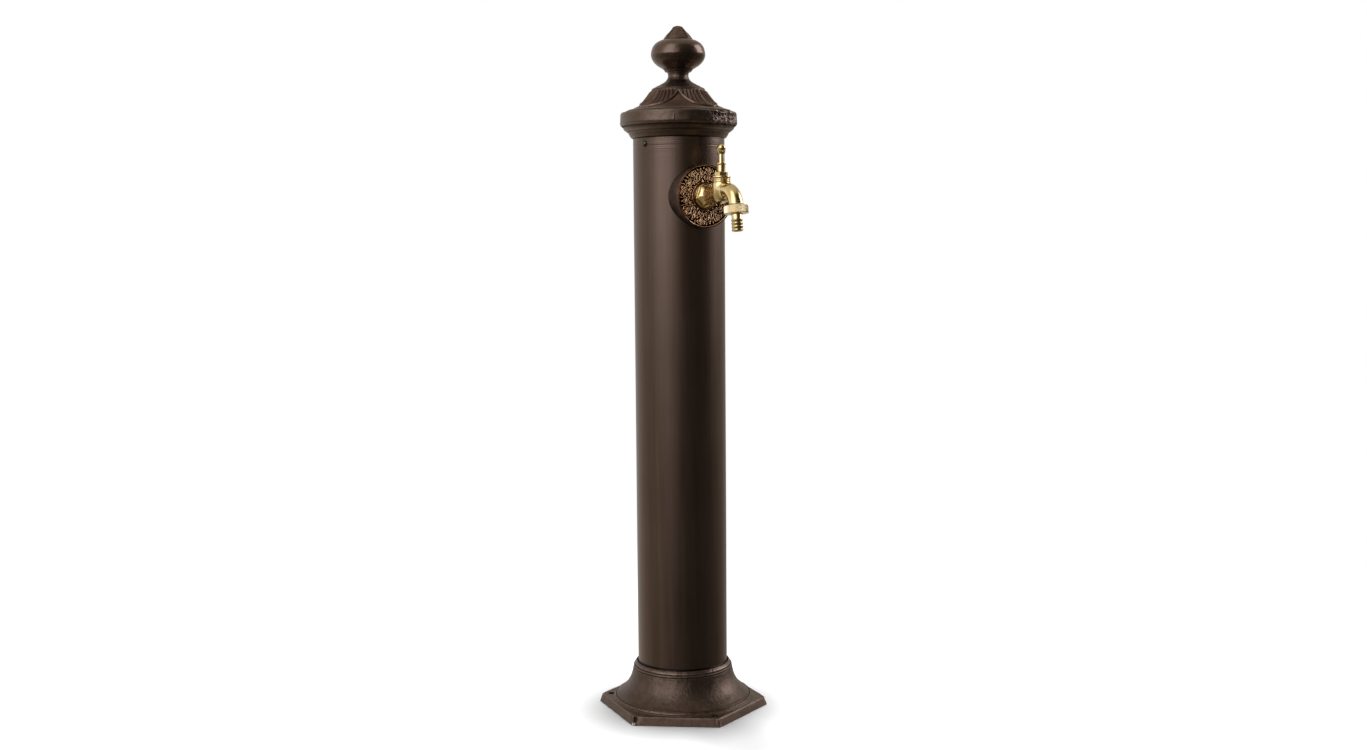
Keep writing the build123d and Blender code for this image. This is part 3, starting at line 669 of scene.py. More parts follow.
PACKING = make_soft("white_packing", (0.88, 0.88, 0.84), (0.70, 0.69, 0.65), 0.60, 0.80)


def place(ob, mat, body, slot, *nodes):
    ob.data.materials.clear()
    ob.data.materials.append(mat)
    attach(ob, body)
    if nodes:
        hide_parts(*nodes)
    return ob


# ---------------------------------------------------------------------------
# Base casting
# ---------------------------------------------------------------------------
HEX0 = math.radians(-93.86 + 90.0)          # azimuth of one plate corner, from -Y towards +X


def hex_radius(phi, apothem, rho):
    d = np.abs((phi - HEX0 + math.pi / 6) % (math.pi / 3) - math.pi / 6)
    c = (apothem - rho) / math.cos(math.pi / 6)
    flat = apothem / np.cos(math.pi / 6 - d)
    dt = math.atan2(rho * 0.5, c + rho * math.cos(math.pi / 6))
    arc = c * np.cos(d) + np.sqrt(np.maximum(rho ** 2 - (c * np.sin(d)) ** 2, 0))
    return np.where(d < dt, arc, flat)


def make_base():
    half = np.array([0, .12, .24, .38, .55, .8, 1.15, 1.6, 2.1] + list(np.arange(2.6, 30.0, 0.5)))
    sector = np.concatenate([-half[:0:-1], half, [30.0]])
    phis = np.concatenate([HEX0 + math.radians(60 * k) + np.radians(sector) for k in range(6)])
    phis = phis[np.append(np.diff(phis) > 1e-6, True)]
    N = len(phis)
    outer = [(60.6, 58.5), (61.15, 61.0), (61.5, 61.6), (62.0, 61.7)]
    outer += spline([(62.4, 61.2), (63.8, 59.4), (65.2, 57.2), (66.1, 55.2), (66.7, 52.6), (67.3, 49.4),
                     (68.1, 46.0), (69.1, 42.2), (70.4, 38.4), (72.0, 34.8), (74.1, 31.2), (76.3, 28.0),
                     (79.0, 25.0), (82.0, 22.2), (84.9, 19.6), (87.4, 17.6), (89.6, 16.3), (91.2, 15.4)])
    outer += [(91.35, 14.9), (91.35, 13.6), (91.6, 13.3), (93.2, 12.6), (94.4, 11.2), (94.6, 11.0)]
    top = profile(outer, 1.1, 0.22, False, 2.0,
                  lambda r, z: np.where((z > 50) | ((z > 12.8) & (z < 18.5)), 1 / 0.35, 0))
    rows_r = [np.full(N, r) for r in top[:, 0]]
    rows_z = [np.full(N, z) for z in top[:, 1]]
    ap_top, ap_low = 111.3 * math.cos(math.pi / 6), 114.4 * math.cos(math.pi / 6)
    inner_edge = hex_radius(phis, ap_top - 0.9, 1.0)
    for t in (0.12, 0.3, 0.5, 0.7, 0.88, 1.0):
        rows_r.append(94.6 + t * (inner_edge - 94.6))
        rows_z.append(np.full(N, 11.0))
    for a in (22.5, 45, 67.5, 90):
        ra = math.radians(a)
        rows_r.append(hex_radius(phis, ap_top - 0.9 + 0.9 * math.sin(ra), 1.2))
        rows_z.append(np.full(N, 10.1 + 0.9 * math.cos(ra)))
    for z in (9.6, 8.4, 7.0, 5.4, 3.8, 2.2, 1.0, 0.45):
        rows_r.append(hex_radius(phis, ap_top + (ap_low - ap_top) * (11 - z) / 11, 1.4))
        rows_z.append(np.full(N, z))
    for inset, z in ((0.12, 0.15), (0.5, 0.0)):
        rows_r.append(hex_radius(phis, ap_low - inset, 1.4))
        rows_z.append(np.full(N, z))
    under = hex_radius(phis, ap_low - 0.5, 1.4)
    for t in (0.25, 0.5, 0.75, 0.97):
        rows_r.append(under + t * (80 - under))
        rows_z.append(np.full(N, 0.0))
    inside = profile([(80, 0), (80, 8), (77, 15), (71.5, 22), (67.5, 29), (65.5, 35.5), (40, 35.5), (40, 44),
                      (60.6, 44), (60.6, 58.5)], 5.0, 0.3, False, 1.2)
    for r, z in inside[:-1]:
        rows_r.append(np.full(N, r))
        rows_z.append(np.full(N, z))
    R, Z = np.array(rows_r), np.array(rows_z)
    P = np.stack([R * np.sin(phis), -R * np.cos(phis), Z], -1)
    outside = np.zeros(len(R), bool)
    outside[:len(top) + 6 + 4 + 8 + 2] = True
    O = outside[:, None] & (Z > 0.3)
    flare = (R < 94.0) & O
    d = np.zeros(R.shape)
    d += np.where(O, 0.12 * fbm(P, 8.0, 3, 3) + 0.10 * fbm(P, 2.4, 9, 2), 0)
    pits = np.clip(noise(P, 2.4, 41) - 0.55, 0, 1)
    d -= np.where(flare & (Z > 14), 0.55 * pits, 0)
    # grooves under the rim bead, scored line at the flare's foot
    d += np.where(flare, -0.50 * gauss(Z, 57.0, 0.55) + 0.30 * gauss(Z, 55.4, 0.7)
                  - 0.42 * gauss(Z, 53.4, 0.5) + 0.15 * gauss(Z, 60.2, 0.7), 0)
    foot = (R > 88.5) & (R < 93.5) & O
    d += np.where(foot, -0.55 * gauss(R, 90.4, 0.45) * (Z > 14.9) + 0.22 * gauss(R, 91.35, 0.4), 0)
    # a few deeper pits on the right of the flare
    for fc, zc, rr in ((31, 21.5, 1.0), (36, 20.6, 0.8), (27, 22.6, 0.7), (24, 21.0, 0.6), (30, 25.2, 0.6)):
        f = math.radians(fc) - VIEW
        rc = np.interp(zc, top[::-1, 1], top[::-1, 0])
        c = np.array([rc * math.sin(f), -rc * math.cos(f), zc])
        d -= 0.7 * np.exp(-(((P - c) ** 2).sum(-1)) / rr ** 2)
    n = grid_normals(P, True)
    if signed_volume(P.reshape(-1, 3), quads(*R.shape, True)) > 0:
        n = -n
    side = (R > 94.0) & (Z < 10.6)
    d = np.where(side, 0.5 * d - 0.16, d)
    P = P + n * d[..., None]
    # knocked corner at the front left, lesser ones elsewhere
    bare = np.zeros(R.shape)
    f = HEX0 + math.radians(300)
    along = np.array([math.cos(f + math.radians(30)), math.sin(f + math.radians(30)), 0.0])
    corner = np.array([114.0 * math.sin(f), -114.0 * math.cos(f), 0.0])
    rel = P - corner
    t = rel @ along
    notch = np.exp(-((t - 3.2) / 2.6) ** 2) * O * (R > 96) * (0.75 + 0.25 * sstep(Z, 2.0, 8.0))
    jag = 1.0 + 0.5 * fbm(P, 2.6, 83, 2)
    inward = -np.array([math.sin(f + math.radians(30)), -math.cos(f + math.radians(30)), 0.0])
    P = P + (2.3 * notch * jag)[..., None] * inward
    # painted shade inside the knocked notch
    notch_shade = 0.95 * sstep(notch, 0.30, 0.75) * (Z < 10.8)
    bare = sstep(np.exp(-((t - 1.4) / 1.9) ** 2), 0.25, 0.6) * (1 - sstep(Z, 1.9, 3.2)) * (R > 100)
    notch_shade = notch_shade * (1 - bare)
    for k, amount in ((5, 0.8), (0, 0.35), (1, 0.3), (4, 0.3)):
        f = HEX0 + math.radians(60 * k)
        c = np.array([110.4 * math.sin(f), -110.4 * math.cos(f), 10.0])
        out = np.array([math.sin(f), -math.cos(f), 0.0])
        dist = np.linalg.norm((P - c) * np.array([1, 1, 0.8]), axis=-1)
        w = np.exp(-(dist / 5.5) ** 2) * O
        rough = 0.9 + 0.8 * fbm(P, 3.0, 71 + k, 2)
        P = P - (w * amount * rough)[..., None] * (2.0 * out + np.array([0, 0, 0.75]))
    shade = np.where(flare, gauss(Z, 57.0, 0.5) + 0.9 * gauss(Z, 53.4, 0.45), 0)
    shade = shade + np.where(foot, 1.0 * gauss(R, 90.5, 0.5) * (Z > 14.5), 0) + np.where(R < 61.3, 1.0, 0) * O
    shade = np.clip(shade + 0.9 * np.clip(notch_shade, 0, 1), 0, 1)
    shade = np.where(flare & (Z > 14), np.clip(shade + 0.5 * pits, 0, 1), shade)
    # lighter rim bead, foot ring and plate top edge: worn paint and painted highlight
    wear_and_highlight = np.where(flare, 0.7 * gauss(Z, 58.6, 0.7) + 0.6 * gauss(Z, 55.2, 0.6), 0) + np.where(foot, 0.8 * gauss(R, 91.5, 0.35), 0)
    wear_and_highlight = np.clip(wear_and_highlight + (R > 95) * O * 0.8 * gauss(Z, 10.6, 0.5), 0, 1)
    ob = mesh_object("vis_base", P.reshape(-1, 3), [quads(*R.shape, True)], None, {"shade": shade, "wear_and_highlight": wear_and_highlight, "bare": bare})
    cutters = []
    for k in range(3):
        a = math.radians(-93.86 + 120 * k)
        x, y = 98 * math.cos(a), 98 * math.sin(a)
        cutters.append(rod("cut_anchor%d" % k, (x, y, -2), (x, y, 19), 4.5))
        a = math.radians(90 + 120 * k)
        x, y = 48 * math.cos(a), 48 * math.sin(a)
        cutters.append(rod("cut_bolt%d" % k, (x, y, 31), (x, y, 47), 4.5, 32))
    cut(ob, cutters)
    ob.data.shade_smooth()
    ob.data.set_sharp_from_angle(angle=math.radians(55))
    return place(ob, CAST, "column", "cast_brown", "base_casting")


# ---------------------------------------------------------------------------
# Column tube
# ---------------------------------------------------------------------------
def make_column():
    prof = profile([(60.0, 44.0), (60.0, 759.3), (57.0, 759.3), (57.0, 44.0)], 9.0, 0.25, True, 1.4,
                   lambda r, z: np.where((r > 58.5) & (((z > 742) & (z < 758)) | ((z > 60.5) & (z < 65.5))), 1 / 0.45, 0))
    phis = np.linspace(0, 2 * math.pi, 384, endpoint=False)
    P = lathe_grid(prof, phis)
    r, z = prof[:, 0][:, None], prof[:, 1][:, None]
    d = 0.045 * noise(P, 22.0, 5, (1, 1, 9)) + 0.012 * noise(P, 7.0, 8, (1, 1, 14))
    d = np.where(r > 58.5, d - 0.20 * gauss(z, 748.2, 0.4) - 0.05 * gauss(z, 753.4, 0.5)
                 - 0.05 * gauss(z, 756.0, 0.5) - 0.7 * gauss(z, 62.9, 0.55), 0)
    ob = grid_object("vis_tube", P, True, d)
    a = math.radians(-165.4)
    u = np.array([math.cos(a), math.sin(a), 0])
    c = np.array([0, 0, 750.3])
    cut(ob, [rod("cut_shank", (0, -50, 682.5), (0, -66, 682.5), 11.2),
             rod("cut_screw1", c + 50 * u, c + 66 * u, 2.6, 32),
             rod("cut_screw2", c - 50 * u, c - 66 * u, 2.6, 32)])
    ob.data.shade_smooth()
    ob.data.set_sharp_from_angle(angle=math.radians(55))
    return place(ob, TUBE, "column", "tube_brown", "column_tube")


# ---------------------------------------------------------------------------
# Cap casting with its four drooping leaves
# ---------------------------------------------------------------------------
FIELD_R = np.array([30.0, 37.5, 40.8, 44.1, 48.0, 54.0, 58.5, 62.0, 64.5, 70.0])
FIELD_A = np.radians([-12.0, 0.0, 4.0, 9.0, 15.0, 21.0, 30.0, 38.0, 45.5, 58.0])


def leaf_relief(phi, r):
    """Height of the cap's leaves over the plain cone, and how hollow it is there; phi starts at the photograph."""
    q = (phi + math.pi / 4) % (math.pi / 2) - math.pi / 4
    dl = np.abs(q)                                     # from the middle of a plain field, 0..45 degrees
    pe = np.interp(r, FIELD_R, FIELD_A)
    slope = (np.interp(r + 0.5, FIELD_R, FIELD_A) - np.interp(r - 0.5, FIELD_R, FIELD_A))
    e = (dl - pe) * r / np.sqrt(1 + (slope * r) ** 2)   # distance in from the leaf's edge, mm
    m = (math.pi / 4 - dl) * r                          # distance from the midrib, mm
    inside = sstep(e, -0.45, 0.75)
    h = 1.15 * inside + 1.15 * gauss(e, 1.15, 0.75) - 0.80
    deg = np.degrees(dl)
    wave = 0.5 + 0.5 * np.cos(2 * math.pi * (deg - 13.0) / 7.4)
    body = sstep(e, 1.6, 3.0) * sstep(m, 1.4, 2.6)
    h += body * (1.30 * wave ** 1.4 - 0.85)
    h += 1.40 * gauss(m, 0.0, 1.0) * sstep(e, 0.2, 1.5)
    hollow = 0.90 * body * (1 - wave) ** 1.4 + 0.95 * gauss(e, -0.55, 0.55) + 0.5 * gauss(e, 2.2, 0.6) * inside
    hollow += 0.45 * gauss(m, 1.9, 0.6) * inside
    crest = gauss(e, 1.0, 0.6) + 1.0 * gauss(m, 0.0, 1.0) * inside
    return h, np.clip(hollow, 0, 1), np.clip(crest, 0, 1)


def make_cap():
    outer = [(60.2, 759.5), (61.9, 759.5)]
    outer += spline([(61.9, 759.5), (63.3, 761.3), (64.7, 763.5), (66.0, 766.0), (68.2, 767.9)], 6)
    outer += spline([(68.2, 767.9), (70.8, 769.6), (72.4, 771.6), (73.0, 773.5)], 6)
    outer += [(73.6, 773.6), (74.6, 774.4), (76.2, 776.0), (76.8, 778.0), (76.4, 784.0), (76.2, 790.2),
              (75.2, 791.9), (72.8, 793.2), (69.2, 793.9), (68.6, 794.0), (67.4, 794.9)]
    outer += spline([(67.4, 794.9), (63.0, 796.9), (58.8, 799.0), (54.6, 800.9), (50.1, 803.5), (46.6, 806.2),
                     (43.6, 809.3), (40.9, 812.6), (38.6, 815.7), (36.5, 819.0), (34.9, 822.3)], 6)
    outer += [(33.6, 823.4), (33.0, 824.0)]
    outer += spline([(33.0, 824.0), (30.0, 825.5), (26.6, 827.3), (23.0, 829.2), (19.6, 831.2), (16.6, 833.4),
                     (14.6, 836.0), (13.3, 839.4), (13.5, 842.2), (14.2, 845.2)], 6)
    inner = [(5.25, 845.2), (5.25, 818.0), (25.5, 818.0), (30.0, 814.0), (36.0, 806.0), (45.0, 798.0),
             (57.0, 791.0), (68.5, 787.0), (69.5, 779.0), (63.0, 771.0), (55.0, 764.5), (50.4, 762.0),
             (50.4, 738.0), (56.6, 738.0), (56.6, 759.5), (60.2, 759.5)]

    def dense(r, z):
        q = np.where((z > 794.0) & (z < 824.5) & (r > 33), 1 / 0.52, 0)
        q = np.where((z > 758) & (z < 795) & (r > 60), np.maximum(q, 1 / 0.9), q)
        q = np.where((z > 792) & (r > 66.5) & (r < 73.5), np.maximum(q, 1 / 0.42), q)
        return np.where((z > 824) & (r > 12.5) & (r < 34), np.maximum(q, 1 / 0.8), q)

    shape = profile(outer + inner, 6.0, 0.26, True, 1.3, dense)
    N = 576
    phis = np.linspace(0, 2 * math.pi, N, endpoint=False)
    P = lathe_grid(shape, phis)
    r, z = shape[:, 0][:, None], shape[:, 1][:, None]
    cam = phis[None, :] + VIEW
    cam = (cam + math.pi) % (2 * math.pi) - math.pi
    # the outside is the stretch from the tube's edge up to the neck
    order = np.arange(len(shape))
    start = int(np.argmin(np.hypot(shape[:, 0] - 61.9, shape[:, 1] - 759.5)))
    stop = int(np.argmin(np.hypot(shape[:, 0] - 14.2, shape[:, 1] - 845.0)))
    out = ((order >= start) & (order <= stop))[:, None]
    d = 0.09 * fbm(P, 6.0, 13, 3) + 0.035 * noise(P, 1.2, 19)
    cone = out * sstep(z, 795.6, 797.4) * (1 - sstep(z, 818.6, 821.0))
    relief, hollow, crest = leaf_relief(cam, r)
    d = d + cone * relief
    shade = cone * hollow + out * (0.8 * gauss(z, 821.9, 0.5) * (r > 33.5) + 1.0 * gauss(z, 793.0, 0.95) * (r > 69.3) * (r < 75.5)
                                   + 1.0 * gauss(z, 774.0, 1.1) * (r > 72.2) * (r < 75.8)
                                   + 0.8 * gauss(z, 767.6, 0.5) * (r > 66) + 0.6 * gauss(z, 828.0, 0.5))
    d = d - out * 0.50 * gauss(z, 793.2, 0.60) * (r > 69.3) * (r < 75.2)
    d = d + out * (0.50 * gauss(r, 68.6, 0.7) * gauss(z, 794.0, 1.6) + 0.30 * gauss(r, 33.9, 0.8) * (z > 820))
    d = d + out * 0.22 * gauss(z, 826.6, 0.6) * (r < 32) - out * 0.2 * gauss(z, 828.0, 0.5) * (r < 32)
    # the small cast nub at the front of the band
    d = d + out * 0.55 * gauss(np.degrees(cam), -4.2, 0.55) * sstep(z, 777.8, 779.2) * (1 - sstep(z, 785.0, 786.4)) * (r > 70)
    # rough patch on the right of the band
    deg = np.degrees(cam)
    patch = sstep(deg, 27, 38) * (1 - sstep(deg, 78, 88)) * sstep(z, 768, 778) * (1 - sstep(z, 792.5, 795.5)) * out
    lumps = 1 - 2.2 * np.abs(fbm(P, 6.0, 57, 2))
    d = d + patch * (0.85 * lumps - 0.55 + 0.22 * noise(P, 2.6, 59))
    neck = out * sstep(z, 829, 833)
    pits = np.clip(noise(P, 2.6, 77) - 0.25, 0, 1)
    d = d - neck * 0.55 * pits
    d = np.where(out, d, 0)
    shade = np.clip(shade + 0.6 * neck * pits + 0.55 * patch * sstep(-lumps, -0.1, 0.6), 0, 1)
    # lighter leaf edges, midribs, lips and tops of the rough patch: worn paint and painted highlight
    wear_and_highlight = cone * crest + out * (0.7 * gauss(z, 823.0, 0.6) * (r > 32.5) + 1.0 * gauss(z, 794.6, 0.75) * (r > 66.4) * (r < 69.4)
                                 + 0.6 * gauss(z, 791.6, 0.7) * (r > 74) + 0.9 * gauss(z, 776.2, 0.6) * (r > 75.2))
    wear_and_highlight = np.clip(wear_and_highlight + 0.9 * patch * sstep(lumps, 0.2, 0.8), 0, 1)
    ob = grid_object("vis_cap", P, True, d, None, {"shade": shade, "facet": patch, "wear_and_highlight": wear_and_highlight})
    a = math.radians(-165.4)
    u = np.array([math.cos(a), math.sin(a), 0])
    c = np.array([0, 0, 750.3])
    cut(ob, [rod("cut_cap1", c + 47 * u, c + 60 * u, 2.54, 32), rod("cut_cap2", c - 47 * u, c - 60 * u, 2.54, 32)])
    ob.data.shade_smooth()
    ob.data.set_sharp_from_angle(angle=math.radians(60))
    return place(ob, CAST, "column", "cast_brown", "cap_casting")


# ---------------------------------------------------------------------------
# Finial: flattened ball with a four-petal bud
# ---------------------------------------------------------------------------
def make_finial():
    outer = [(5.02, 845.2), (17.0, 845.2), (17.5, 845.7), (17.6, 846.6)]
    outer += spline([(17.6, 846.6), (20.4, 849.2), (24.4, 851.6), (28.2, 854.2), (31.6, 857.6), (34.0, 861.2),
                     (35.3, 865.2), (35.5, 868.6), (34.6, 873.2), (33.0, 877.4), (30.4, 880.8), (27.2, 883.3),
                     (22.9, 885.5), (18.9, 886.9)], 6)
    outer += [(18.5, 887.9)]
    outer += spline([(18.5, 887.9), (17.3, 889.6), (15.3, 892.1), (13.0, 894.6), (10.6, 896.9), (8.6, 899.2),
                     (7.0, 901.2), (5.2, 903.1), (2.8, 904.2), (0.02, 904.4)], 6)
    prof = profile([(0.02, 871.2), (5.02, 871.2)] + outer, 0.85, 0.22, False, 2.0,
                   lambda r, z: np.where(z > 886, 1 / 0.42, 0) * (r > 0.3))
    prof = prof[1:-1]
    N = 288
    phis = np.linspace(0, 2 * math.pi, N, endpoint=False)
    P = lathe_grid(prof, phis)
    r, z = prof[:, 0][:, None], prof[:, 1][:, None]
    cam = np.degrees((phis[None, :] + VIEW + math.pi) % (2 * math.pi) - math.pi)
    out = (r > 5.1) | (z > 872)
    d = 0.07 * fbm(P, 5.0, 23, 3) + 0.03 * noise(P, 1.1, 29)
    # petals of the bud
    q = np.abs((cam + 5.0 + 45.0) % 90.0 - 45.0)
    arc = np.radians(45.0 - q) * r
    up = sstep(z, 887.2, 889.0) * (1 - sstep(z, 901.5, 903.8))
    w = np.interp(z, [887.5, 890, 896, 903], [1.7, 1.4, 1.1, 0.7])
    d = d - up * 1.15 * np.exp(-(arc / w) ** 2) + up * 0.45 * np.exp(-((arc - 2.4) / 1.5) ** 2)
    d = d + up * 0.30 * sstep(45 - q, 10, 45)
    # the bud sits on a thin lip
    d = d + 0.35 * gauss(z, 887.3, 0.6) * (r > 12) - 0.35 * gauss(z, 886.5, 0.5) * (r > 17)
    d = d - 0.25 * gauss(z, 848.6, 0.6) * (r < 22)
    pits = np.clip(noise(P, 2.2, 87) - 0.35, 0, 1)
    d = d - 0.5 * pits * sstep(z, 889, 892)
    d = np.where(out, d, 0) * sstep(r, 0.0, 1.2)
    # painted shade in the petal valleys, under the lip, in the groove at the foot of the ball and in the pits, with a
    # dark mottled tone on the bud
    shade = up * (0.9 * np.exp(-(arc / (0.8 * w)) ** 2) + 0.45 * sstep(fbm(P, 3.0, 89, 2), -0.1, 0.5)) + 0.9 * gauss(z, 886.6, 0.5) * (r > 16.5)
    shade = np.clip(shade + 0.8 * gauss(z, 848.4, 0.5) * (r < 20.5) + 0.7 * pits * sstep(z, 889, 892), 0, 1) * np.ones_like(d)
    ob = grid_object("vis_finial", P, False, d, None, {"shade": shade}, (True, True))
    ob.data.set_sharp_from_angle(angle=math.radians(60))
    return place(ob, CAST, "column", "cast_brown", "finial")


# ---------------------------------------------------------------------------
# Boss on the tube
# ---------------------------------------------------------------------------
TZ = 682.5
S_AXIS = ((0, 0, TZ), (0, -1, 0), (1, 0, 0), (0, 0, 1))       # r cos -> x, r sin -> z, h -> s = -y


def make_boss():
    N = 360
    th = np.linspace(0, 2 * math.pi, N, endpoint=False)
    rows = []

    def saddle(rho):
        return np.sqrt(60.0 ** 2 - (rho * np.cos(th)) ** 2)

    for rho in (10.9, 14, 20, 27, 33, 36.5, 37.8, 38.3):
        rows.append((np.full(N, rho), np.full(N, 67.5)))
    for a in (22.5, 45, 67.5, 90):
        rows.append((np.full(N, 38.3 + 1.2 * math.sin(math.radians(a))), np.full(N, 66.3 + 1.2 * math.cos(math.radians(a)))))
    sb = saddle(39.5)
    for t in (0.06, 0.16, 0.3, 0.45, 0.6, 0.74, 0.86, 0.94, 0.985):
        s = 66.3 + t * (sb - 66.3)
        grow = 0.75 * np.exp(-((s - sb) / 1.3))
        rows.append((39.5 + grow, s))
    for rho in (40.0, 36, 30, 22, 15, 10.9):
        rows.append((np.full(N, rho), saddle(rho) - 0.15 * (rho > 12)))
    for t in (0.33, 0.66):
        rows.append((np.full(N, 10.9), np.full(N, 60.0 + t * 7.5)))
    R = np.array([a for a, b in rows])
    S = np.array([b for a, b in rows])
    P = np.stack([R * np.cos(th), -S, TZ + R * np.sin(th)], -1)
    d = 0.08 * fbm(P, 6.0, 33, 3) + 0.03 * noise(P, 1.2, 39)
    d = np.where(R > 36, d, 0)
    side = sstep(R, 38.8, 39.4) * (S < 66.0)
    shade = np.clip(side * (0.55 + 0.35 * fbm(P, 9.0, 43, 2)) + 0.9 * gauss(S, sb, 0.8) * (R > 39.4), 0, 1)
    ob = grid_object("vis_boss", P, True, d, None, {"shade": shade})
    ob.data.set_sharp_from_angle(angle=math.radians(55))
    return place(ob, CAST, "column", "cast_brown", "tap_boss")


# ---------------------------------------------------------------------------
# Rosette: scrolls, flowers and leaves stamped into a disc
# ---------------------------------------------------------------------------
RES = 0.14
HALF = 38.6
GN = int(2 * HALF / RES) + 1


def stamp(H, pts, width, height):
    pts = np.array(pts, float)
    width = np.broadcast_to(np.asarray(width, float), (len(pts),))
    height = np.broadcast_to(np.asarray(height, float), (len(pts),))
    for k in range(len(pts) - 1):
        a, b = pts[k], pts[k + 1]
        w = max(width[k], width[k + 1])
        lo = np.floor((np.minimum(a, b) - w + HALF) / RES).astype(int)
        hi = np.ceil((np.maximum(a, b) + w + HALF) / RES).astype(int) + 1
        lo = np.clip(lo, 0, GN)
        hi = np.clip(hi, 0, GN)
        if (hi <= lo).any():
            continue
        X, Y = np.meshgrid(np.arange(lo[0], hi[0]) * RES - HALF, np.arange(lo[1], hi[1]) * RES - HALF, indexing="ij")
        ab = b - a
        L = max((ab ** 2).sum(), 1e-9)
        t = np.clip(((X - a[0]) * ab[0] + (Y - a[1]) * ab[1]) / L, 0, 1)
        ww = width[k] + t * (width[k + 1] - width[k])
        hh = height[k] + t * (height[k + 1] - height[k])
        dd = np.hypot(X - a[0] - t * ab[0], Y - a[1] - t * ab[1]) / ww
        v = hh * np.sqrt(np.clip(1 - dd * dd, 0, 1))
        H[lo[0]:hi[0], lo[1]:hi[1]] = np.maximum(H[lo[0]:hi[0], lo[1]:hi[1]], v)


def turn(pts, a):
    c, s = math.cos(a), math.sin(a)
    p = np.array(pts, float)
    return np.stack([p[:, 0] * c - p[:, 1] * s, p[:, 0] * s + p[:, 1] * c], 1)


def spiral(centre, r0, r1, a0, turns, n=26):
    t = np.linspace(0, 1, n)
    a = a0 + 2 * math.pi * turns * t
    r = r0 + (r1 - r0) * t
    return np.stack([centre[0] + r * np.cos(a), centre[1] + r * np.sin(a)], 1)


def rosette_height():
    H = np.zeros((GN, GN))
    units = 8
    for u in range(units):
        a = 2 * math.pi * u / units + math.radians(11)
        # flower of five petals with a round eye
        c = np.array([28.2, 0.0])
        for k in range(5):
            t = 2 * math.pi * k / 5
            dirv = np.array([math.cos(t), math.sin(t)])
            nrm = np.array([-dirv[1], dirv[0]])
            loop = [c + dirv * (1.4 + 2.1 * (1 - math.cos(x))) + nrm * 1.55 * math.sin(x)
                    for x in np.linspace(0.25, 2 * math.pi - 0.25, 15)]
            stamp(H, turn(loop, a), 0.62, 1.55)
            stamp(H, turn([c + dirv * 2.2, c + dirv * 4.0], a), [0.75, 1.0], [0.7, 0.95])
        stamp(H, turn([c, c + 0.01], a), 1.35, 2.0)
        # pairs of scrolls between the flowers, outer and inner
        b = a + math.pi / units
        for sgn in (1, -1):
            o = spiral((33.0, sgn * 3.6), 3.4, 0.7, sgn * math.radians(-150), sgn * 1.35)
            stamp(H, turn(o, b), np.linspace(0.95, 0.6, len(o)), np.linspace(1.5, 1.75, len(o)))
            i = spiral((22.6, sgn * 2.7), 2.9, 0.6, sgn * math.radians(140), sgn * -1.3)
            stamp(H, turn(i, b), np.linspace(0.85, 0.55, len(i)), np.linspace(1.4, 1.65, len(i)))
            stem = spline([(22.0, sgn * 0.6), (25.0, sgn * 1.6), (28.0, sgn * 3.9), (30.3, sgn * 6.6)], 6)
            stamp(H, turn(stem, b), 0.7, 1.45)
            leaf = spline([(26.0, sgn * 0.4), (28.2, sgn * 1.1), (30.6, sgn * 0.5)], 5)
            stamp(H, turn(leaf, b), np.interp(np.linspace(0, 1, len(leaf)), [0, .5, 1], [0.4, 1.0, 0.35]), 1.35)
            wing = spline([(31.5, sgn * 8.2), (34.0, sgn * 8.9), (36.4, sgn * 8.2)], 5)
            stamp(H, turn(wing, b), np.interp(np.linspace(0, 1, len(wing)), [0, .5, 1], [0.4, 0.95, 0.4]), 1.4)
        stamp(H, turn([(34.9, 0), (37.0, 0)], b), [0.8, 1.3], [1.2, 1.6])
        stamp(H, turn([(18.4, 0), (20.6, 0)], b), [1.5, 0.6], [1.4, 1.2])
        stamp(H, turn([(18.4, 0), (22.4, 0)], a), [1.7, 0.5], [1.5, 1.2])
        stamp(H, turn([(35.2, 0), (35.25, 0)], a), 1.25, 1.6)
        for off in (-1, 1):
            e = a + off * math.radians(8.2)
            stamp(H, turn([(35.7, 0), (35.75, 0)], e), 0.9, 1.35)
    ring = [(18.4 * math.cos(t), 18.4 * math.sin(t)) for t in np.linspace(0, 2 * math.pi, 120)]
    stamp(H, ring, 0.8, 1.3)
    return H


def sample(H, x, y):
    a = np.clip((x + HALF) / RES, 0, GN - 1.001)
    b = np.clip((y + HALF) / RES, 0, GN - 1.001)
    i, j = a.astype(int), b.astype(int)
    a, b = a - i, b - j
    return (H[i, j] * (1 - a) + H[i + 1, j] * a) * (1 - b) + (H[i, j + 1] * (1 - a) + H[i + 1, j + 1] * a) * b


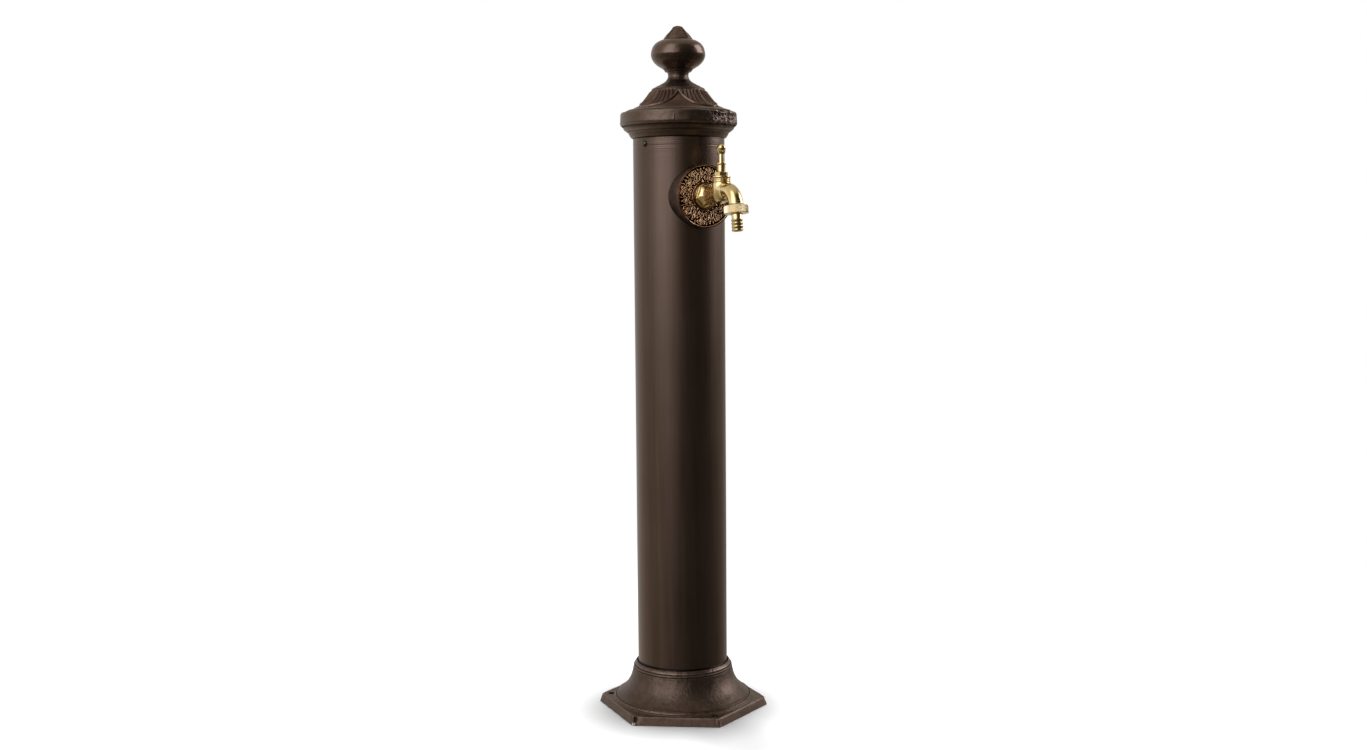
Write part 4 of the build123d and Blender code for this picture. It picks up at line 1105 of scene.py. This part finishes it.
def make_rosette():
    H = rosette_height()
    field = list(np.linspace(17.5, 37.5, 76))
    rows = [(10.7, 67.5, 0), (20, 67.5, 0), (30, 67.5, 0), (38, 67.5, 0), (40.3, 67.5, 0), (40.75, 67.65, 0),
            (41.0, 68.1, 1), (41.0, 69.0, 1), (41.0, 70.0, 1), (40.9, 70.6, 1), (40.6, 71.15, 1),
            (40.2, 71.55, 1), (39.7, 71.78, 1), (39.2, 71.75, 1), (38.75, 71.5, 1), (38.4, 71.0, 1),
            (38.15, 70.3, .9), (37.95, 69.6, .3), (37.75, 69.0, 0)]
    rows += [(q, 68.55, 0) for q in field[::-1]]
    rows += [(17.3, 69.2, 0), (17.1, 70.2, 0), (16.9, 71.2, 0.3), (16.6, 71.9, 0.5), (16.1, 72.15, 0.5), (13.0, 72.15, 0.3),
             (10.7, 72.2, 0), (10.7, 70.0, 0)]
    rows = np.array(rows)
    N = 720
    th = np.linspace(0, 2 * math.pi, N, endpoint=False)
    R = np.repeat(rows[:, 0][:, None], N, 1)
    S = np.repeat(rows[:, 1][:, None], N, 1)
    x, y = R * np.cos(th), R * np.sin(th)
    isfield = (np.abs(rows[:, 1] - 68.55) < 1e-6)[:, None]
    h = sample(H, x, y) * isfield
    soft = np.clip(1 - (R - 36.6) / 0.9, 0, 1) * np.clip((R - 17.4) / 0.6, 0, 1)
    P0 = np.stack([x, -S, TZ + y], -1)
    h = h * soft + isfield * 0.10 * fbm(P0, 2.0, 91, 2)
    edge = np.repeat(rows[:, 2][:, None], N, 1)
    wob = (edge > 0.5) * (0.10 * fbm(P0, 3.0, 95, 2) + 0.04 * noise(P0, 0.9, 96))
    P = np.stack([x, -(S + h * 1.42 + wob), TZ + y], -1)
    rel = np.clip(h / 1.6, 0, 1)
    rel = np.where(isfield, rel, np.where((R < 39.3) & (edge > 0.2), 1.0, 0.4 * edge))
    edge = np.where((R < 39.1) & (R > 37.8), 0.0, edge)
    rel = np.where((R < 17.35) & (S > 69), 0.50, rel)
    ob = grid_object("vis_rosette", P, True, None, None, {"relief": rel, "crest": edge})
    return place(ob, BRONZE, "column", "bronze_relief", "rosette")


# ---------------------------------------------------------------------------
# Tap body
# ---------------------------------------------------------------------------
TILT = math.radians(7.0)
OUT_S, OUT_Z, NUT_H = 147.0, 663.8, 5.1
U2 = (-math.sin(TILT), math.cos(TILT))                 # outlet axis, upwards, in (s, z)
V2 = (math.cos(TILT), math.sin(TILT))
OUT_AXIS = ((0, -OUT_S, OUT_Z), (0, math.sin(TILT), math.cos(TILT)), (0, -math.cos(TILT), math.sin(TILT)), (1, 0, 0))
END = (OUT_S + U2[0] * 5.3, OUT_Z + U2[1] * 5.3)
BEND = (END[0] - 22 * math.sin(math.radians(83)), END[1] + 22 * (1 - math.cos(math.radians(83))) - 22)
STEM = 110.8


def bend_distance(S, Z, tail):
    """Distance in the middle plane to the spout's centre line."""
    top = (BEND[0], BEND[1] + 22)
    ang = np.arctan2(Z - BEND[1], S - BEND[0])
    on = (ang > math.radians(7)) & (ang < math.radians(90))
    arc = np.where(on, np.abs(np.hypot(S - BEND[0], Z - BEND[1]) - 22), 1e3)
    return np.minimum(arc, np.minimum(segment(tail, top, S, Z), segment(END, (OUT_S + U2[0] * 0.6, OUT_Z + U2[1] * 0.6), S, Z)))


def make_tap_body():
    barrel = polygon_table([(0, 72.2), (15.5, 72.2), (15.9, 72.6)]
                           + spline([(15.9, 73.4), (15.2, 76.0), (13.1, 79.0), (10.8, 82.8), (9.7, 87.4), (9.5, 92.0)], 8)
                           + [(9.8, 110.8), (0, 110.8)])
    chamber = polygon_table([(0, 672.6), (2.0, 672.6)]
                            + spline([(2.0, 672.6), (7.6, 675.5), (10.6, 682.0), (11.5, 690.0), (11.5, 697.0)], 10)
                            + [(11.5, 697.7), (10.7, 698.3), (10.7, 699.2), (11.45, 699.8), (11.45, 700.7),
                               (10.7, 701.2), (10.7, 701.9), (11.3, 702.4), (11.3, 703.3), (0, 703.3)])
    seat = polygon_table([(0, 677.1), (4.5, 677.1), (4.5, 691.2), (6.2, 691.2), (6.2, 689.4), (8.2, 689.4),
                          (8.2, 695.6), (8.85, 695.6), (8.85, 706.0), (0, 706.0)])
    collar = polygon_table([(0, 0.55), (12.4, 0.55), (13.2, 1.35), (13.2, 4.8), (10.6, 6.3), (9.2, 7.0), (0, 7.0)])

    def f(X, S, Z):
        r1 = np.hypot(X, Z - TZ)
        d = rev(barrel, r1, S)
        hexd = -1e3
        for a in (42, 102, 162):
            c, s = math.cos(math.radians(a)), math.sin(math.radians(a))
            hexd = np.maximum(hexd, np.abs(X * c + (Z - TZ) * s) - 13.3)
        hexd = smin(hexd, S - 73.5, 0.4)
        d = np.where(S < 82.0, smax(d, hexd, 0.45), d)
        r2 = np.hypot(X, S - STEM)
        k = 0.4 + 3.0 * (1 - sstep(Z, 694.5, 697.5))
        d = smin(d, rev(chamber, r2, Z), k)
        plane = bend_distance(S, Z, (STEM + 2, BEND[1] + 22))
        d = smin(d, np.hypot(plane, X) - 9.2, k)
        hh = (S - OUT_S) * U2[0] + (Z - OUT_Z) * U2[1]
        vv = (S - OUT_S) * V2[0] + (Z - OUT_Z) * V2[1]
        r3 = np.hypot(X, vv)
        th = np.arctan2(X, vv)
        groove = 0.42 * (0.5 - 0.5 * np.cos(2 * math.pi * (hh / 1.81 - th / (2 * math.pi)))) * (r3 > 12) * (hh > 0.8) * (hh < 4.9)
        cd = rev(collar, r3, hh) + groove
        d = np.where(hh < 0.55, np.maximum(d, 0.55 - hh), d)
        d = smin(d, cd, 0.7)
        # threaded shank behind the hub
        th = np.arctan2(Z - TZ, X)
        rs = 10.48 - 0.45 * (0.5 - 0.5 * np.cos(2 * math.pi * (S / 1.81 - th / (2 * math.pi)))) * (S < 70.5)
        rs = rs - np.clip(39.0 - S, 0, 1) * 0.9
        shank = np.maximum(np.maximum(r1 - rs, 38.0 - S), S - 73.0)
        d = np.minimum(d, shank)
        # waterways
        d = np.maximum(d, -np.maximum(r1 - 5.5, S - STEM))
        d = np.maximum(d, -rev(seat, r2, Z))
        d = np.maximum(d, -(np.hypot(segment((STEM + 7, 692.0), (BEND[0], BEND[1] + 22), S, Z), X) - 4.6))
        d = np.maximum(d, -np.where(hh > -0.5, np.hypot(bend_distance(S, Z, (BEND[0] - 0.5, BEND[1] + 22)), X) - 5.6, 1.0))
        return np.maximum(d, -np.maximum(r3 - 5.6, hh - 5.2))

    ob = sdf_object("vis_tap_body", f, (-16.9, 37.0, 655.5), (16.9, 162.0, 704.5), 0.43)
    for v in (ob.data,):
        co = np.zeros(len(v.vertices) * 3)
        v.vertices.foreach_get("co", co)
        co = co.reshape(-1, 3)
        co[:, 1] *= -1
        v.vertices.foreach_set("co", co.ravel())
        v.flip_normals()
        v.update()
    ob.data.set_sharp_from_angle(angle=math.radians(50))
    return place(ob, BODY, "column", "tap_brass", "tap_body")


def hex_prism(name, apothem, turn_deg, z0, z1, hole, centre, axis_s=STEM, rho=0.35, bevel=0.45):
    """Hexagon with softened corners; top and bottom edges turned to a cone as on a real nut."""
    half = np.array([0, .5, 1.0, 1.6, 2.4, 3.4, 5, 7, 9.5, 12, 15, 18, 21, 24, 27])
    sector = np.concatenate([-half[:0:-1], half, [30.0]])
    corner = math.radians(turn_deg)
    pol = np.concatenate([corner + math.radians(60 * k) + np.radians(sector) for k in range(6)])
    pol = pol[np.append(np.diff(pol) > 1e-6, True)]
    d = np.abs((pol - corner + math.pi / 6) % (math.pi / 3) - math.pi / 6)
    c = (apothem - rho) / math.cos(math.pi / 6)
    dt = math.atan2(rho * 0.5, c + rho * math.cos(math.pi / 6))
    flat = apothem / np.cos(math.pi / 6 - d)
    R = np.where(d < dt, c * np.cos(d) + np.sqrt(np.maximum(rho ** 2 - (c * np.sin(d)) ** 2, 0)), flat)
    N = len(pol)
    zs = np.concatenate([np.linspace(z0, z0 + 1.6, 10), np.linspace(z0 + 2.0, z1 - 2.0, 4), np.linspace(z1 - 1.6, z1, 10)])
    cone = apothem * 1.01
    rows = [(np.full(N, hole), np.full(N, z0)), (np.full(N, 0.5 * (hole + apothem)), np.full(N, z0))]
    for z in zs:
        t = min(z - z0, z1 - z)
        lim = cone + t / math.tan(math.radians(30)) * 1.0
        soft = apothem - bevel * 0.35 + t * 3.0
        r = np.minimum(np.minimum(R, lim), np.maximum(soft, apothem - bevel))
        rows.append((r, np.full(N, z)))
    rows += [(np.full(N, 0.5 * (hole + apothem)), np.full(N, z1)), (np.full(N, hole), np.full(N, z1)),
             (np.full(N, hole), np.full(N, 0.5 * (z0 + z1)))]
    R = np.array([a for a, b in rows])
    Z = np.array([b for a, b in rows])
    P = np.stack([centre[0] + R * np.cos(pol), centre[1] + R * np.sin(pol), Z], -1)
    ob = grid_object(name, P, True)
    ob.data.set_sharp_from_angle(angle=math.radians(28))
    return ob


STEM_AXIS = ((0, -STEM, 0), (0, 0, 1), (0, -1, 0), (1, 0, 0))


def make_headwork():
    flange = lathe("vis_bonnet", [(7.0, 696.4), (8.8, 696.4), (8.8, 704.0), (11.0, 704.0), (11.35, 704.25),
                                  (11.5, 704.7), (11.5, 705.7), (11.35, 706.15), (11.0, 706.4), (7.3, 706.5),
                                  (7.3, 711.0), (4.35, 711.3), (4.35, 717.5), (3.85, 717.5), (3.85, 712.2),
                                  (3.05, 712.2), (3.05, 710.7), (4.1, 710.7), (4.1, 701.2), (7.0, 701.2)],
                   192, STEM_AXIS, 0.9, 0.12)
    place(flange, BRASS, "column", "tap_brass", "headwork_bonnet")
    hexa = hex_prism("vis_bonnet_hex", 7.6, -14, 706.3, 711.2, 6.0, (0, -STEM))
    place(hexa, BRASS, "column", "tap_brass")
    gland = lathe("vis_gland_nut", [(4.4, 711.6), (4.9, 711.6), (5.1, 711.9), (5.1, 720.1), (5.6, 720.6),
                                    (5.9, 721.0), (5.95, 721.4), (5.95, 722.2), (5.75, 722.65), (5.4, 722.8),
                                    (3.05, 722.8), (3.05, 717.6), (4.4, 717.6)], 160, STEM_AXIS, 0.8, 0.12)
    place(gland, BRASS, "column", "tap_brass", "gland_nut")
    spindle = lathe("vis_spindle", [(0.02, 703.4), (2.06, 703.4), (2.06, 696.1), (3.6, 696.1), (4.05, 696.6),
                                    (4.05, 705.6), (3.5, 706.1), (3.0, 706.1), (3.0, 741.0), (2.8, 741.2),
                                    (0.02, 741.2)], 128, STEM_AXIS, 1.2, 0.12, closed=False,
                    wave=lambda r, h, a, P: -0.30 * (0.5 - 0.5 * np.cos(2 * math.pi * h / 1.5 - a)) * ((r > 3.9) & (h > 696.8) & (h < 705.4)))
    cut(spindle, [rod("cut_pin", (0, -STEM - 8, 737), (0, -STEM + 8, 737), 1.0, 32)])
    spindle.data.shade_smooth()
    spindle.data.set_sharp_from_angle(angle=math.radians(40))
    place(spindle, BRASS, "handle", "tap_brass", "spindle")


def make_handle():
    boss = polygon_table([(0, 733.4), (4.0, 733.4)] + spline([(4.2, 733.6), (4.8, 734.8), (5.35, 737.4), (5.4, 739.8), (4.9, 742.4),
                                                             (3.8, 744.1), (2.4, 744.9), (0.8, 745.2)], 8) + [(0, 745.2)], 3.0, 0.06)
    a = math.radians(-118.5)
    b = (math.cos(a), math.sin(a))

    def f(X, Y, Z):
        dx, dy = X, Y + STEM
        d = rev(boss, np.hypot(dx, dy), Z)
        t = dx * b[0] + dy * b[1]
        w = np.hypot(-dx * b[1] + dy * b[0], Z - 740.0)
        bar = np.maximum(w - 2.5, np.abs(t) - 19.5)
        ball = np.hypot(np.abs(t) - 19.5, w) - 4.9
        ends = smin(bar, ball, 1.1)
        ends = smax(ends, np.abs(t) - 24.3, 0.5)
        d = smin(d, ends, 1.3)
        d = np.maximum(d, -np.maximum(np.hypot(dx, dy) - 3.02, Z - 741.25))
        return np.maximum(d, -(np.hypot(dx, Z - 737.0) - 1.0))

    ob = sdf_object("vis_t_handle", f, (-15, -STEM - 28, 732.6), (15, -STEM + 28, 746.2), 0.27)
    ob.data.set_sharp_from_angle(angle=math.radians(50))
    return place(ob, BRASS, "handle", "tap_brass", "t_handle")


def make_union():
    def knurl(r, h, a, P):
        ring = sstep(h, -4.7, -4.1) * (1 - sstep(h, 4.1, 4.7)) * (r > 15.0)
        tooth = np.abs(((a * 80 / (2 * math.pi)) % 1.0) - 0.5) * 2
        return -0.45 * ring * sstep(tooth, 0.25, 0.85)

    nut = lathe("vis_union_nut", [(13.26, 5.1), (14.4, 5.1), (15.0, 4.85), (15.4, 4.2), (15.4, -4.2), (15.0, -4.85),
                                  (14.4, -5.1), (7.9, -5.1), (7.7, -4.9), (7.7, -3.4), (13.26, -3.4)],
                640, OUT_AXIS, 0.9, 0.12, wave=knurl)
    nut.data.set_sharp_from_angle(angle=math.radians(50))
    place(nut, NUT, "nut", "nut_brass", "union_nut")
    tail = [(4.6, -1.55), (12.5, -1.55), (12.5, -3.33), (7.0, -3.33), (6.25, -3.9), (6.25, -11.5)]
    for top in (-12.0, -16.2, -20.4, -24.6):
        tail += [(7.1, top - 0.05), (7.2, top - 0.2), (7.2, top - 0.7), (6.3, top - 3.2), (6.25, top - 3.6)] if top > -24 else \
            [(7.1, top - 0.05), (7.2, top - 0.2), (7.2, top - 0.7), (6.4, top - 1.75), (5.9, top - 2.0), (4.9, top - 2.0)]
    tail += [(4.6, -26.3)]
    ob = lathe("vis_hose_tail", tail, 192, OUT_AXIS, 0.9, 0.1)
    ob.data.set_sharp_from_angle(angle=math.radians(50))
    place(ob, BRASS, "tail", "tap_brass", "hose_tail")


def make_screws():
    a = math.radians(-165.4)
    u = np.array([math.cos(a), math.sin(a), 0.0])
    w = np.array([-u[1], u[0], 0.0])
    zc = 750.3
    head = polygon_table([(0, 47.5), (1.9, 47.5), (2.5, 48.2), (2.5, 60.05), (4.0, 60.05), (4.1, 60.2), (4.1, 60.6)]
                         + spline([(4.05, 60.8), (3.5, 61.6), (2.6, 62.3), (1.4, 62.75), (0, 62.9)], 6), 2.0, 0.05)

    def f(T, W, Z):
        r = np.hypot(W, Z)
        d = rev(head, r, T)
        g = np.where((T < 60) & (r > 1.9), 0.22 * (0.5 - 0.5 * np.cos(2 * math.pi * T / 0.8 - np.arctan2(Z, W))), 0)
        d = d + g
        c = math.cos(math.radians(20))
        s = math.sin(math.radians(20))
        A, B = W * c + Z * s, -W * s + Z * c
        cross = np.minimum(np.maximum(np.abs(A) - 0.42, np.abs(B) - 1.7), np.maximum(np.abs(B) - 0.42, np.abs(A) - 1.7))
        depth = 61.3 + 0.55 * np.abs(np.hypot(A, B))
        return smax(d, -np.maximum(cross, depth - T), 0.12)

    for k, sgn in ((1, 1.0), (2, -1.0)):
        ob = sdf_object("vis_cap_screw%d" % k, f, (47.0, -4.6, -4.6), (63.4, 4.6, 4.6), 0.17)
        co = np.zeros(len(ob.data.vertices) * 3)
        ob.data.vertices.foreach_get("co", co)
        co = co.reshape(-1, 3) / MM
        P = sgn * co[:, :1] * u + sgn * co[:, 1:2] * w + (co[:, 2:3] + zc) * np.array([0, 0, 1.0])
        ob.data.vertices.foreach_set("co", (P * MM).ravel())
        ob.data.update()
        ob.data.set_sharp_from_angle(angle=math.radians(50))
        place(ob, DARK, "column", "dark_steel", *(["cap_screws"] if k == 1 else []))


make_base()
make_column()
make_cap()
make_finial()
make_boss()
make_rosette()
make_tap_body()
make_headwork()
make_handle()
make_union()
make_screws()

# CAD nodes that are shown as they are
CARRIED = {
    "tube_foot_plate": TUBE, "foot_washers": ZINC, "foot_bolts": ZINC, "finial_stud": ZINC, "finial_washer": ZINC,
    "finial_nut": ZINC, "inlet_washer": RUBBER, "inlet_backnut": BRASS, "pipe_elbow": GALV, "riser_pipe": GALV,
    "riser_locknuts": ZINC, "headwork_gasket": FIBRE, "gland_packing": PACKING, "seat_washer": RUBBER,
    "jumper_valve": BRASS, "seat_washer_nut": BRASS, "handle_pin": ZINC, "union_washer": RUBBER,
}
for node, mat in CARRIED.items():
    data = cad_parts[node].data
    data.materials.clear()
    data.materials.append(mat)

# ---------------------------------------------------------------------------
# Floor, light, camera
# ---------------------------------------------------------------------------
me = bpy.data.meshes.new("floor")
me.from_pydata([(1.0 * math.cos(math.radians(3.75 * k)), 1.0 * math.sin(math.radians(3.75 * k)), -0.0003) for k in range(96)],
               [], [tuple(range(96))])
floor = bpy.data.objects.new("floor", me)
bpy.context.scene.collection.objects.link(floor)
fm = Mat("floor_pale")
fm.set(Base_Color=fm.ramp(fm.noise(2.5, 2, 0.5), [(0.3, (0.90, 0.90, 0.90)), (0.7, (0.92, 0.92, 0.92))]),
       Roughness=fm.rng(fm.noise(30, 2, 0.5), 0.3, 0.7, 0.85, 0.95))
fm.p.inputs["Specular IOR Level"].default_value = 0.0
me.materials.append(fm.m)
floor.visible_glossy = False

world = bpy.data.worlds.new("studio")
bpy.context.scene.world = world
world.use_nodes = True
wt = world.node_tree
wt.nodes.clear()


def wnode(kind, **props):
    n = wt.nodes.new(kind)
    for k, v in props.items():
        setattr(n, k, v)
    return n


def wmath(op, a, b=0.0, clamp=False):
    n = wnode("ShaderNodeMath", operation=op, use_clamp=clamp)
    for s, v in ((n.inputs[0], a), (n.inputs[1], b)):
        if isinstance(v, bpy.types.NodeSocket):
            wt.links.new(v, s)
        else:
            s.default_value = v
    return n.outputs[0]


def wstep(v, a, b):
    n = wnode("ShaderNodeMapRange", interpolation_type="SMOOTHSTEP")
    wt.links.new(v, n.inputs["Value"])
    n.inputs["From Min"].default_value = a
    n.inputs["From Max"].default_value = b
    return n.outputs[0]


def wlevels(az, stops):
    n = wnode("ShaderNodeValToRGB")
    n.color_ramp.interpolation = "LINEAR"
    el = n.color_ramp.elements
    while len(el) > 1:
        el.remove(el[-1])
    el[0].position = 0.5 + stops[0][0] / 360.0
    el[0].color = (stops[0][1] / 2,) * 3 + (1,)
    for a, v in stops[1:]:
        el.new(0.5 + a / 360.0).color = (v / 2,) * 3 + (1,)
    wt.links.new(az, n.inputs[0])
    s = wnode("ShaderNodeSeparateColor")
    wt.links.new(n.outputs[0], s.inputs[0])
    return wmath("MULTIPLY", s.outputs[0], 2.0)


def wblend(f, a, b):
    return wmath("ADD", wmath("MULTIPLY", a, wmath("SUBTRACT", 1.0, f)), wmath("MULTIPLY", b, f))


ray = wnode("ShaderNodeTexCoord").outputs["Generated"]
sep = wnode("ShaderNodeSeparateXYZ")
wt.links.new(ray, sep.inputs[0])
toward = wmath("ADD", wmath("MULTIPLY", sep.outputs[0], -math.sin(VIEW)), wmath("MULTIPLY", sep.outputs[1], -math.cos(VIEW)))
right = wmath("ADD", wmath("MULTIPLY", sep.outputs[0], math.cos(VIEW)), wmath("MULTIPLY", sep.outputs[1], -math.sin(VIEW)))
azim = wmath("ADD", wmath("MULTIPLY", wmath("ARCTAN2", right, toward), 1 / (2 * math.pi)), 0.5)
zdir = sep.outputs[2]
high = wlevels(azim, [(-179.9, 0.62), (-138, 0.84), (-106, 0.86), (-80, 0.82), (-68, 1.38), (-56, 2.55), (-44, 2.62), (-30, 2.68),
                      (-18, 1.68), (-6, 0.88), (4, 0.34), (12, 0.07), (56, 0.045), (66, 0.05), (76, 0.13), (92, 0.50),
                      (132, 0.55), (179.9, 0.62)])
lower = wlevels(azim, [(-179.9, 0.85), (-130, 0.80), (-105, 0.60), (-82, 0.37), (-60, 0.29), (-46, 0.20), (-14, 0.11), (10, 0.06), (48, 0.045),
                       (66, 0.05), (86, 0.08), (108, 0.18), (142, 0.45), (179.9, 0.70)])
pattern = wblend(wstep(zdir, -0.055, 0.085), lower, high)


def wbox(a0, a1, e0, e1, soft_az=4.0, soft_el=0.03):
    """1 inside a rectangle of azimuth and elevation, in degrees, seen from the object."""
    def az(v):
        return 0.5 + v / 360.0
    def el(v):
        return math.sin(math.radians(v))
    g = wmath("MULTIPLY", wstep(azim, az(a0 - soft_az), az(a0)), wmath("SUBTRACT", 1.0, wstep(azim, az(a1), az(a1 + soft_az))))
    h = wmath("MULTIPLY", wstep(zdir, el(e0) - soft_el, el(e0)), wmath("SUBTRACT", 1.0, wstep(zdir, el(e1), el(e1) + soft_el)))
    return wmath("MULTIPLY", g, h)


ladder = wnode("ShaderNodeValToRGB")
ladder.color_ramp.interpolation = "LINEAR"
rungs = ladder.color_ramp.elements
while len(rungs) > 1:
    rungs.remove(rungs[-1])
rungs[0].position = 0.0
rungs[0].color = (0.8, 0.8, 0.8, 1)
for elev, v in ((-20, 0.85), (-5, 0.93), (0, 0.97), (7, 1.08), (24, 0.82), (55, 0.72), (75, 0.62), (90, 0.60)):
    rungs.new(0.5 + 0.5 * math.sin(math.radians(elev))).color = (v, v, v, 1)
wt.links.new(wmath("ADD", wmath("MULTIPLY", zdir, 0.5), 0.5), ladder.inputs[0])
split = wnode("ShaderNodeSeparateColor")
wt.links.new(ladder.outputs[0], split.inputs[0])
blended = wblend(wstep(zdir, 0.82, 0.98), pattern, wmath("ADD", 0.80, 0.0))
level = wmath("MULTIPLY", blended, split.outputs[0])
level = wmath("ADD", level, wmath("MULTIPLY", wbox(92, 124, 7, 38, 1.5), 3.5))
cool = wstep(level, 0.20, 1.3)
tint = wnode("ShaderNodeCombineColor")
wt.links.new(level, tint.inputs[0])
wt.links.new(wmath("MULTIPLY", level, wblend(cool, wmath("ADD", 0.885, 0.0), wmath("ADD", 1.01, 0.0))), tint.inputs[1])
wt.links.new(wmath("MULTIPLY", level, wblend(cool, wmath("ADD", 0.71, 0.0), wmath("ADD", 1.12, 0.0))), tint.inputs[2])
bg_light = wnode("ShaderNodeBackground")
wt.links.new(tint.outputs[0], bg_light.inputs["Color"])
bg_white = wnode("ShaderNodeBackground")
bg_white.inputs["Color"].default_value = (1, 1, 1, 1)
bg_white.inputs["Strength"].default_value = 1.0
bg_soft = wnode("ShaderNodeBackground")
bg_soft.inputs["Color"].default_value = (1, 1, 1, 1)
bg_soft.inputs["Strength"].default_value = 0.31
path = wnode("ShaderNodeLightPath")
mixd = wnode("ShaderNodeMixShader")
wt.links.new(path.outputs["Is Diffuse Ray"], mixd.inputs[0])
wt.links.new(bg_light.outputs[0], mixd.inputs[1])
wt.links.new(bg_soft.outputs[0], mixd.inputs[2])
mixw = wnode("ShaderNodeMixShader")
wt.links.new(path.outputs["Is Camera Ray"], mixw.inputs[0])
wt.links.new(mixd.outputs[0], mixw.inputs[1])
wt.links.new(bg_white.outputs[0], mixw.inputs[2])
wout = wnode("ShaderNodeOutputWorld")
wt.links.new(mixw.outputs[0], wout.inputs[0])

world.cycles.sampling_method = "NONE"


def lamp(name, power, size, place, target=None, spread=180.0, shape="DISK"):
    """Soft light for the floor and for matt surfaces; the gloss on metal comes from the studio around it."""
    data = bpy.data.lights.new(name, "AREA")
    data.shape = shape
    data.size = size
    data.energy = power
    data.spread = math.radians(spread)
    ob = bpy.data.objects.new(name, data)
    ob.location = place
    if target is not None:
        ob.rotation_euler = (Vector(target) - Vector(place)).to_track_quat("-Z", "Y").to_euler()
    ob.visible_glossy = False
    ob.visible_camera = False
    bpy.context.scene.collection.objects.link(ob)


away = Vector((math.sin(VIEW), math.cos(VIEW), 0.0))
across = Vector((math.cos(VIEW), -math.sin(VIEW), 0.0))
lamp("overhead_soft", 52.0, 0.215, tuple(away * 0.025 + across * 0.006 + Vector((0, 0, 2.02))), (0.0, 0.0, 0.0))

# camera fitted to the photograph
yaw, pitch, roll = 0.00205, math.radians(5.477), -0.00751
c, s = math.cos(VIEW), math.sin(VIEW)
turn_row = Matrix(((c, s, 0), (-s, c, 0), (0, 0, 1)))
F = Vector((math.sin(yaw) * math.cos(pitch), math.cos(yaw) * math.cos(pitch), -math.sin(pitch)))
U0 = Vector((math.sin(yaw) * math.sin(pitch), math.cos(yaw) * math.sin(pitch), math.cos(pitch)))
R0 = Vector((math.cos(yaw), -math.sin(yaw), 0))
R1 = R0 * math.cos(roll) + U0 * math.sin(roll)
U1 = U0 * math.cos(roll) - R0 * math.sin(roll)
X, Y, Z = turn_row @ R1, turn_row @ U1, -(turn_row @ F)
pos = turn_row @ Vector((0, -1.93549, 0.63333))
cam = bpy.data.cameras.new("camera")
cam.sensor_width = 36.0
cam.lens = 38.4418
cam.clip_start = 0.01
cam_ob = bpy.data.objects.new("camera", cam)
cam_ob.matrix_world = Matrix(((X.x, Y.x, Z.x, pos.x), (X.y, Y.y, Z.y, pos.y), (X.z, Y.z, Z.z, pos.z), (0, 0, 0, 1)))
bpy.context.scene.collection.objects.link(cam_ob)
bpy.context.scene.camera = cam_ob
bpy.context.scene.view_settings.view_transform = "Standard"

bpy.context.view_layer.update()
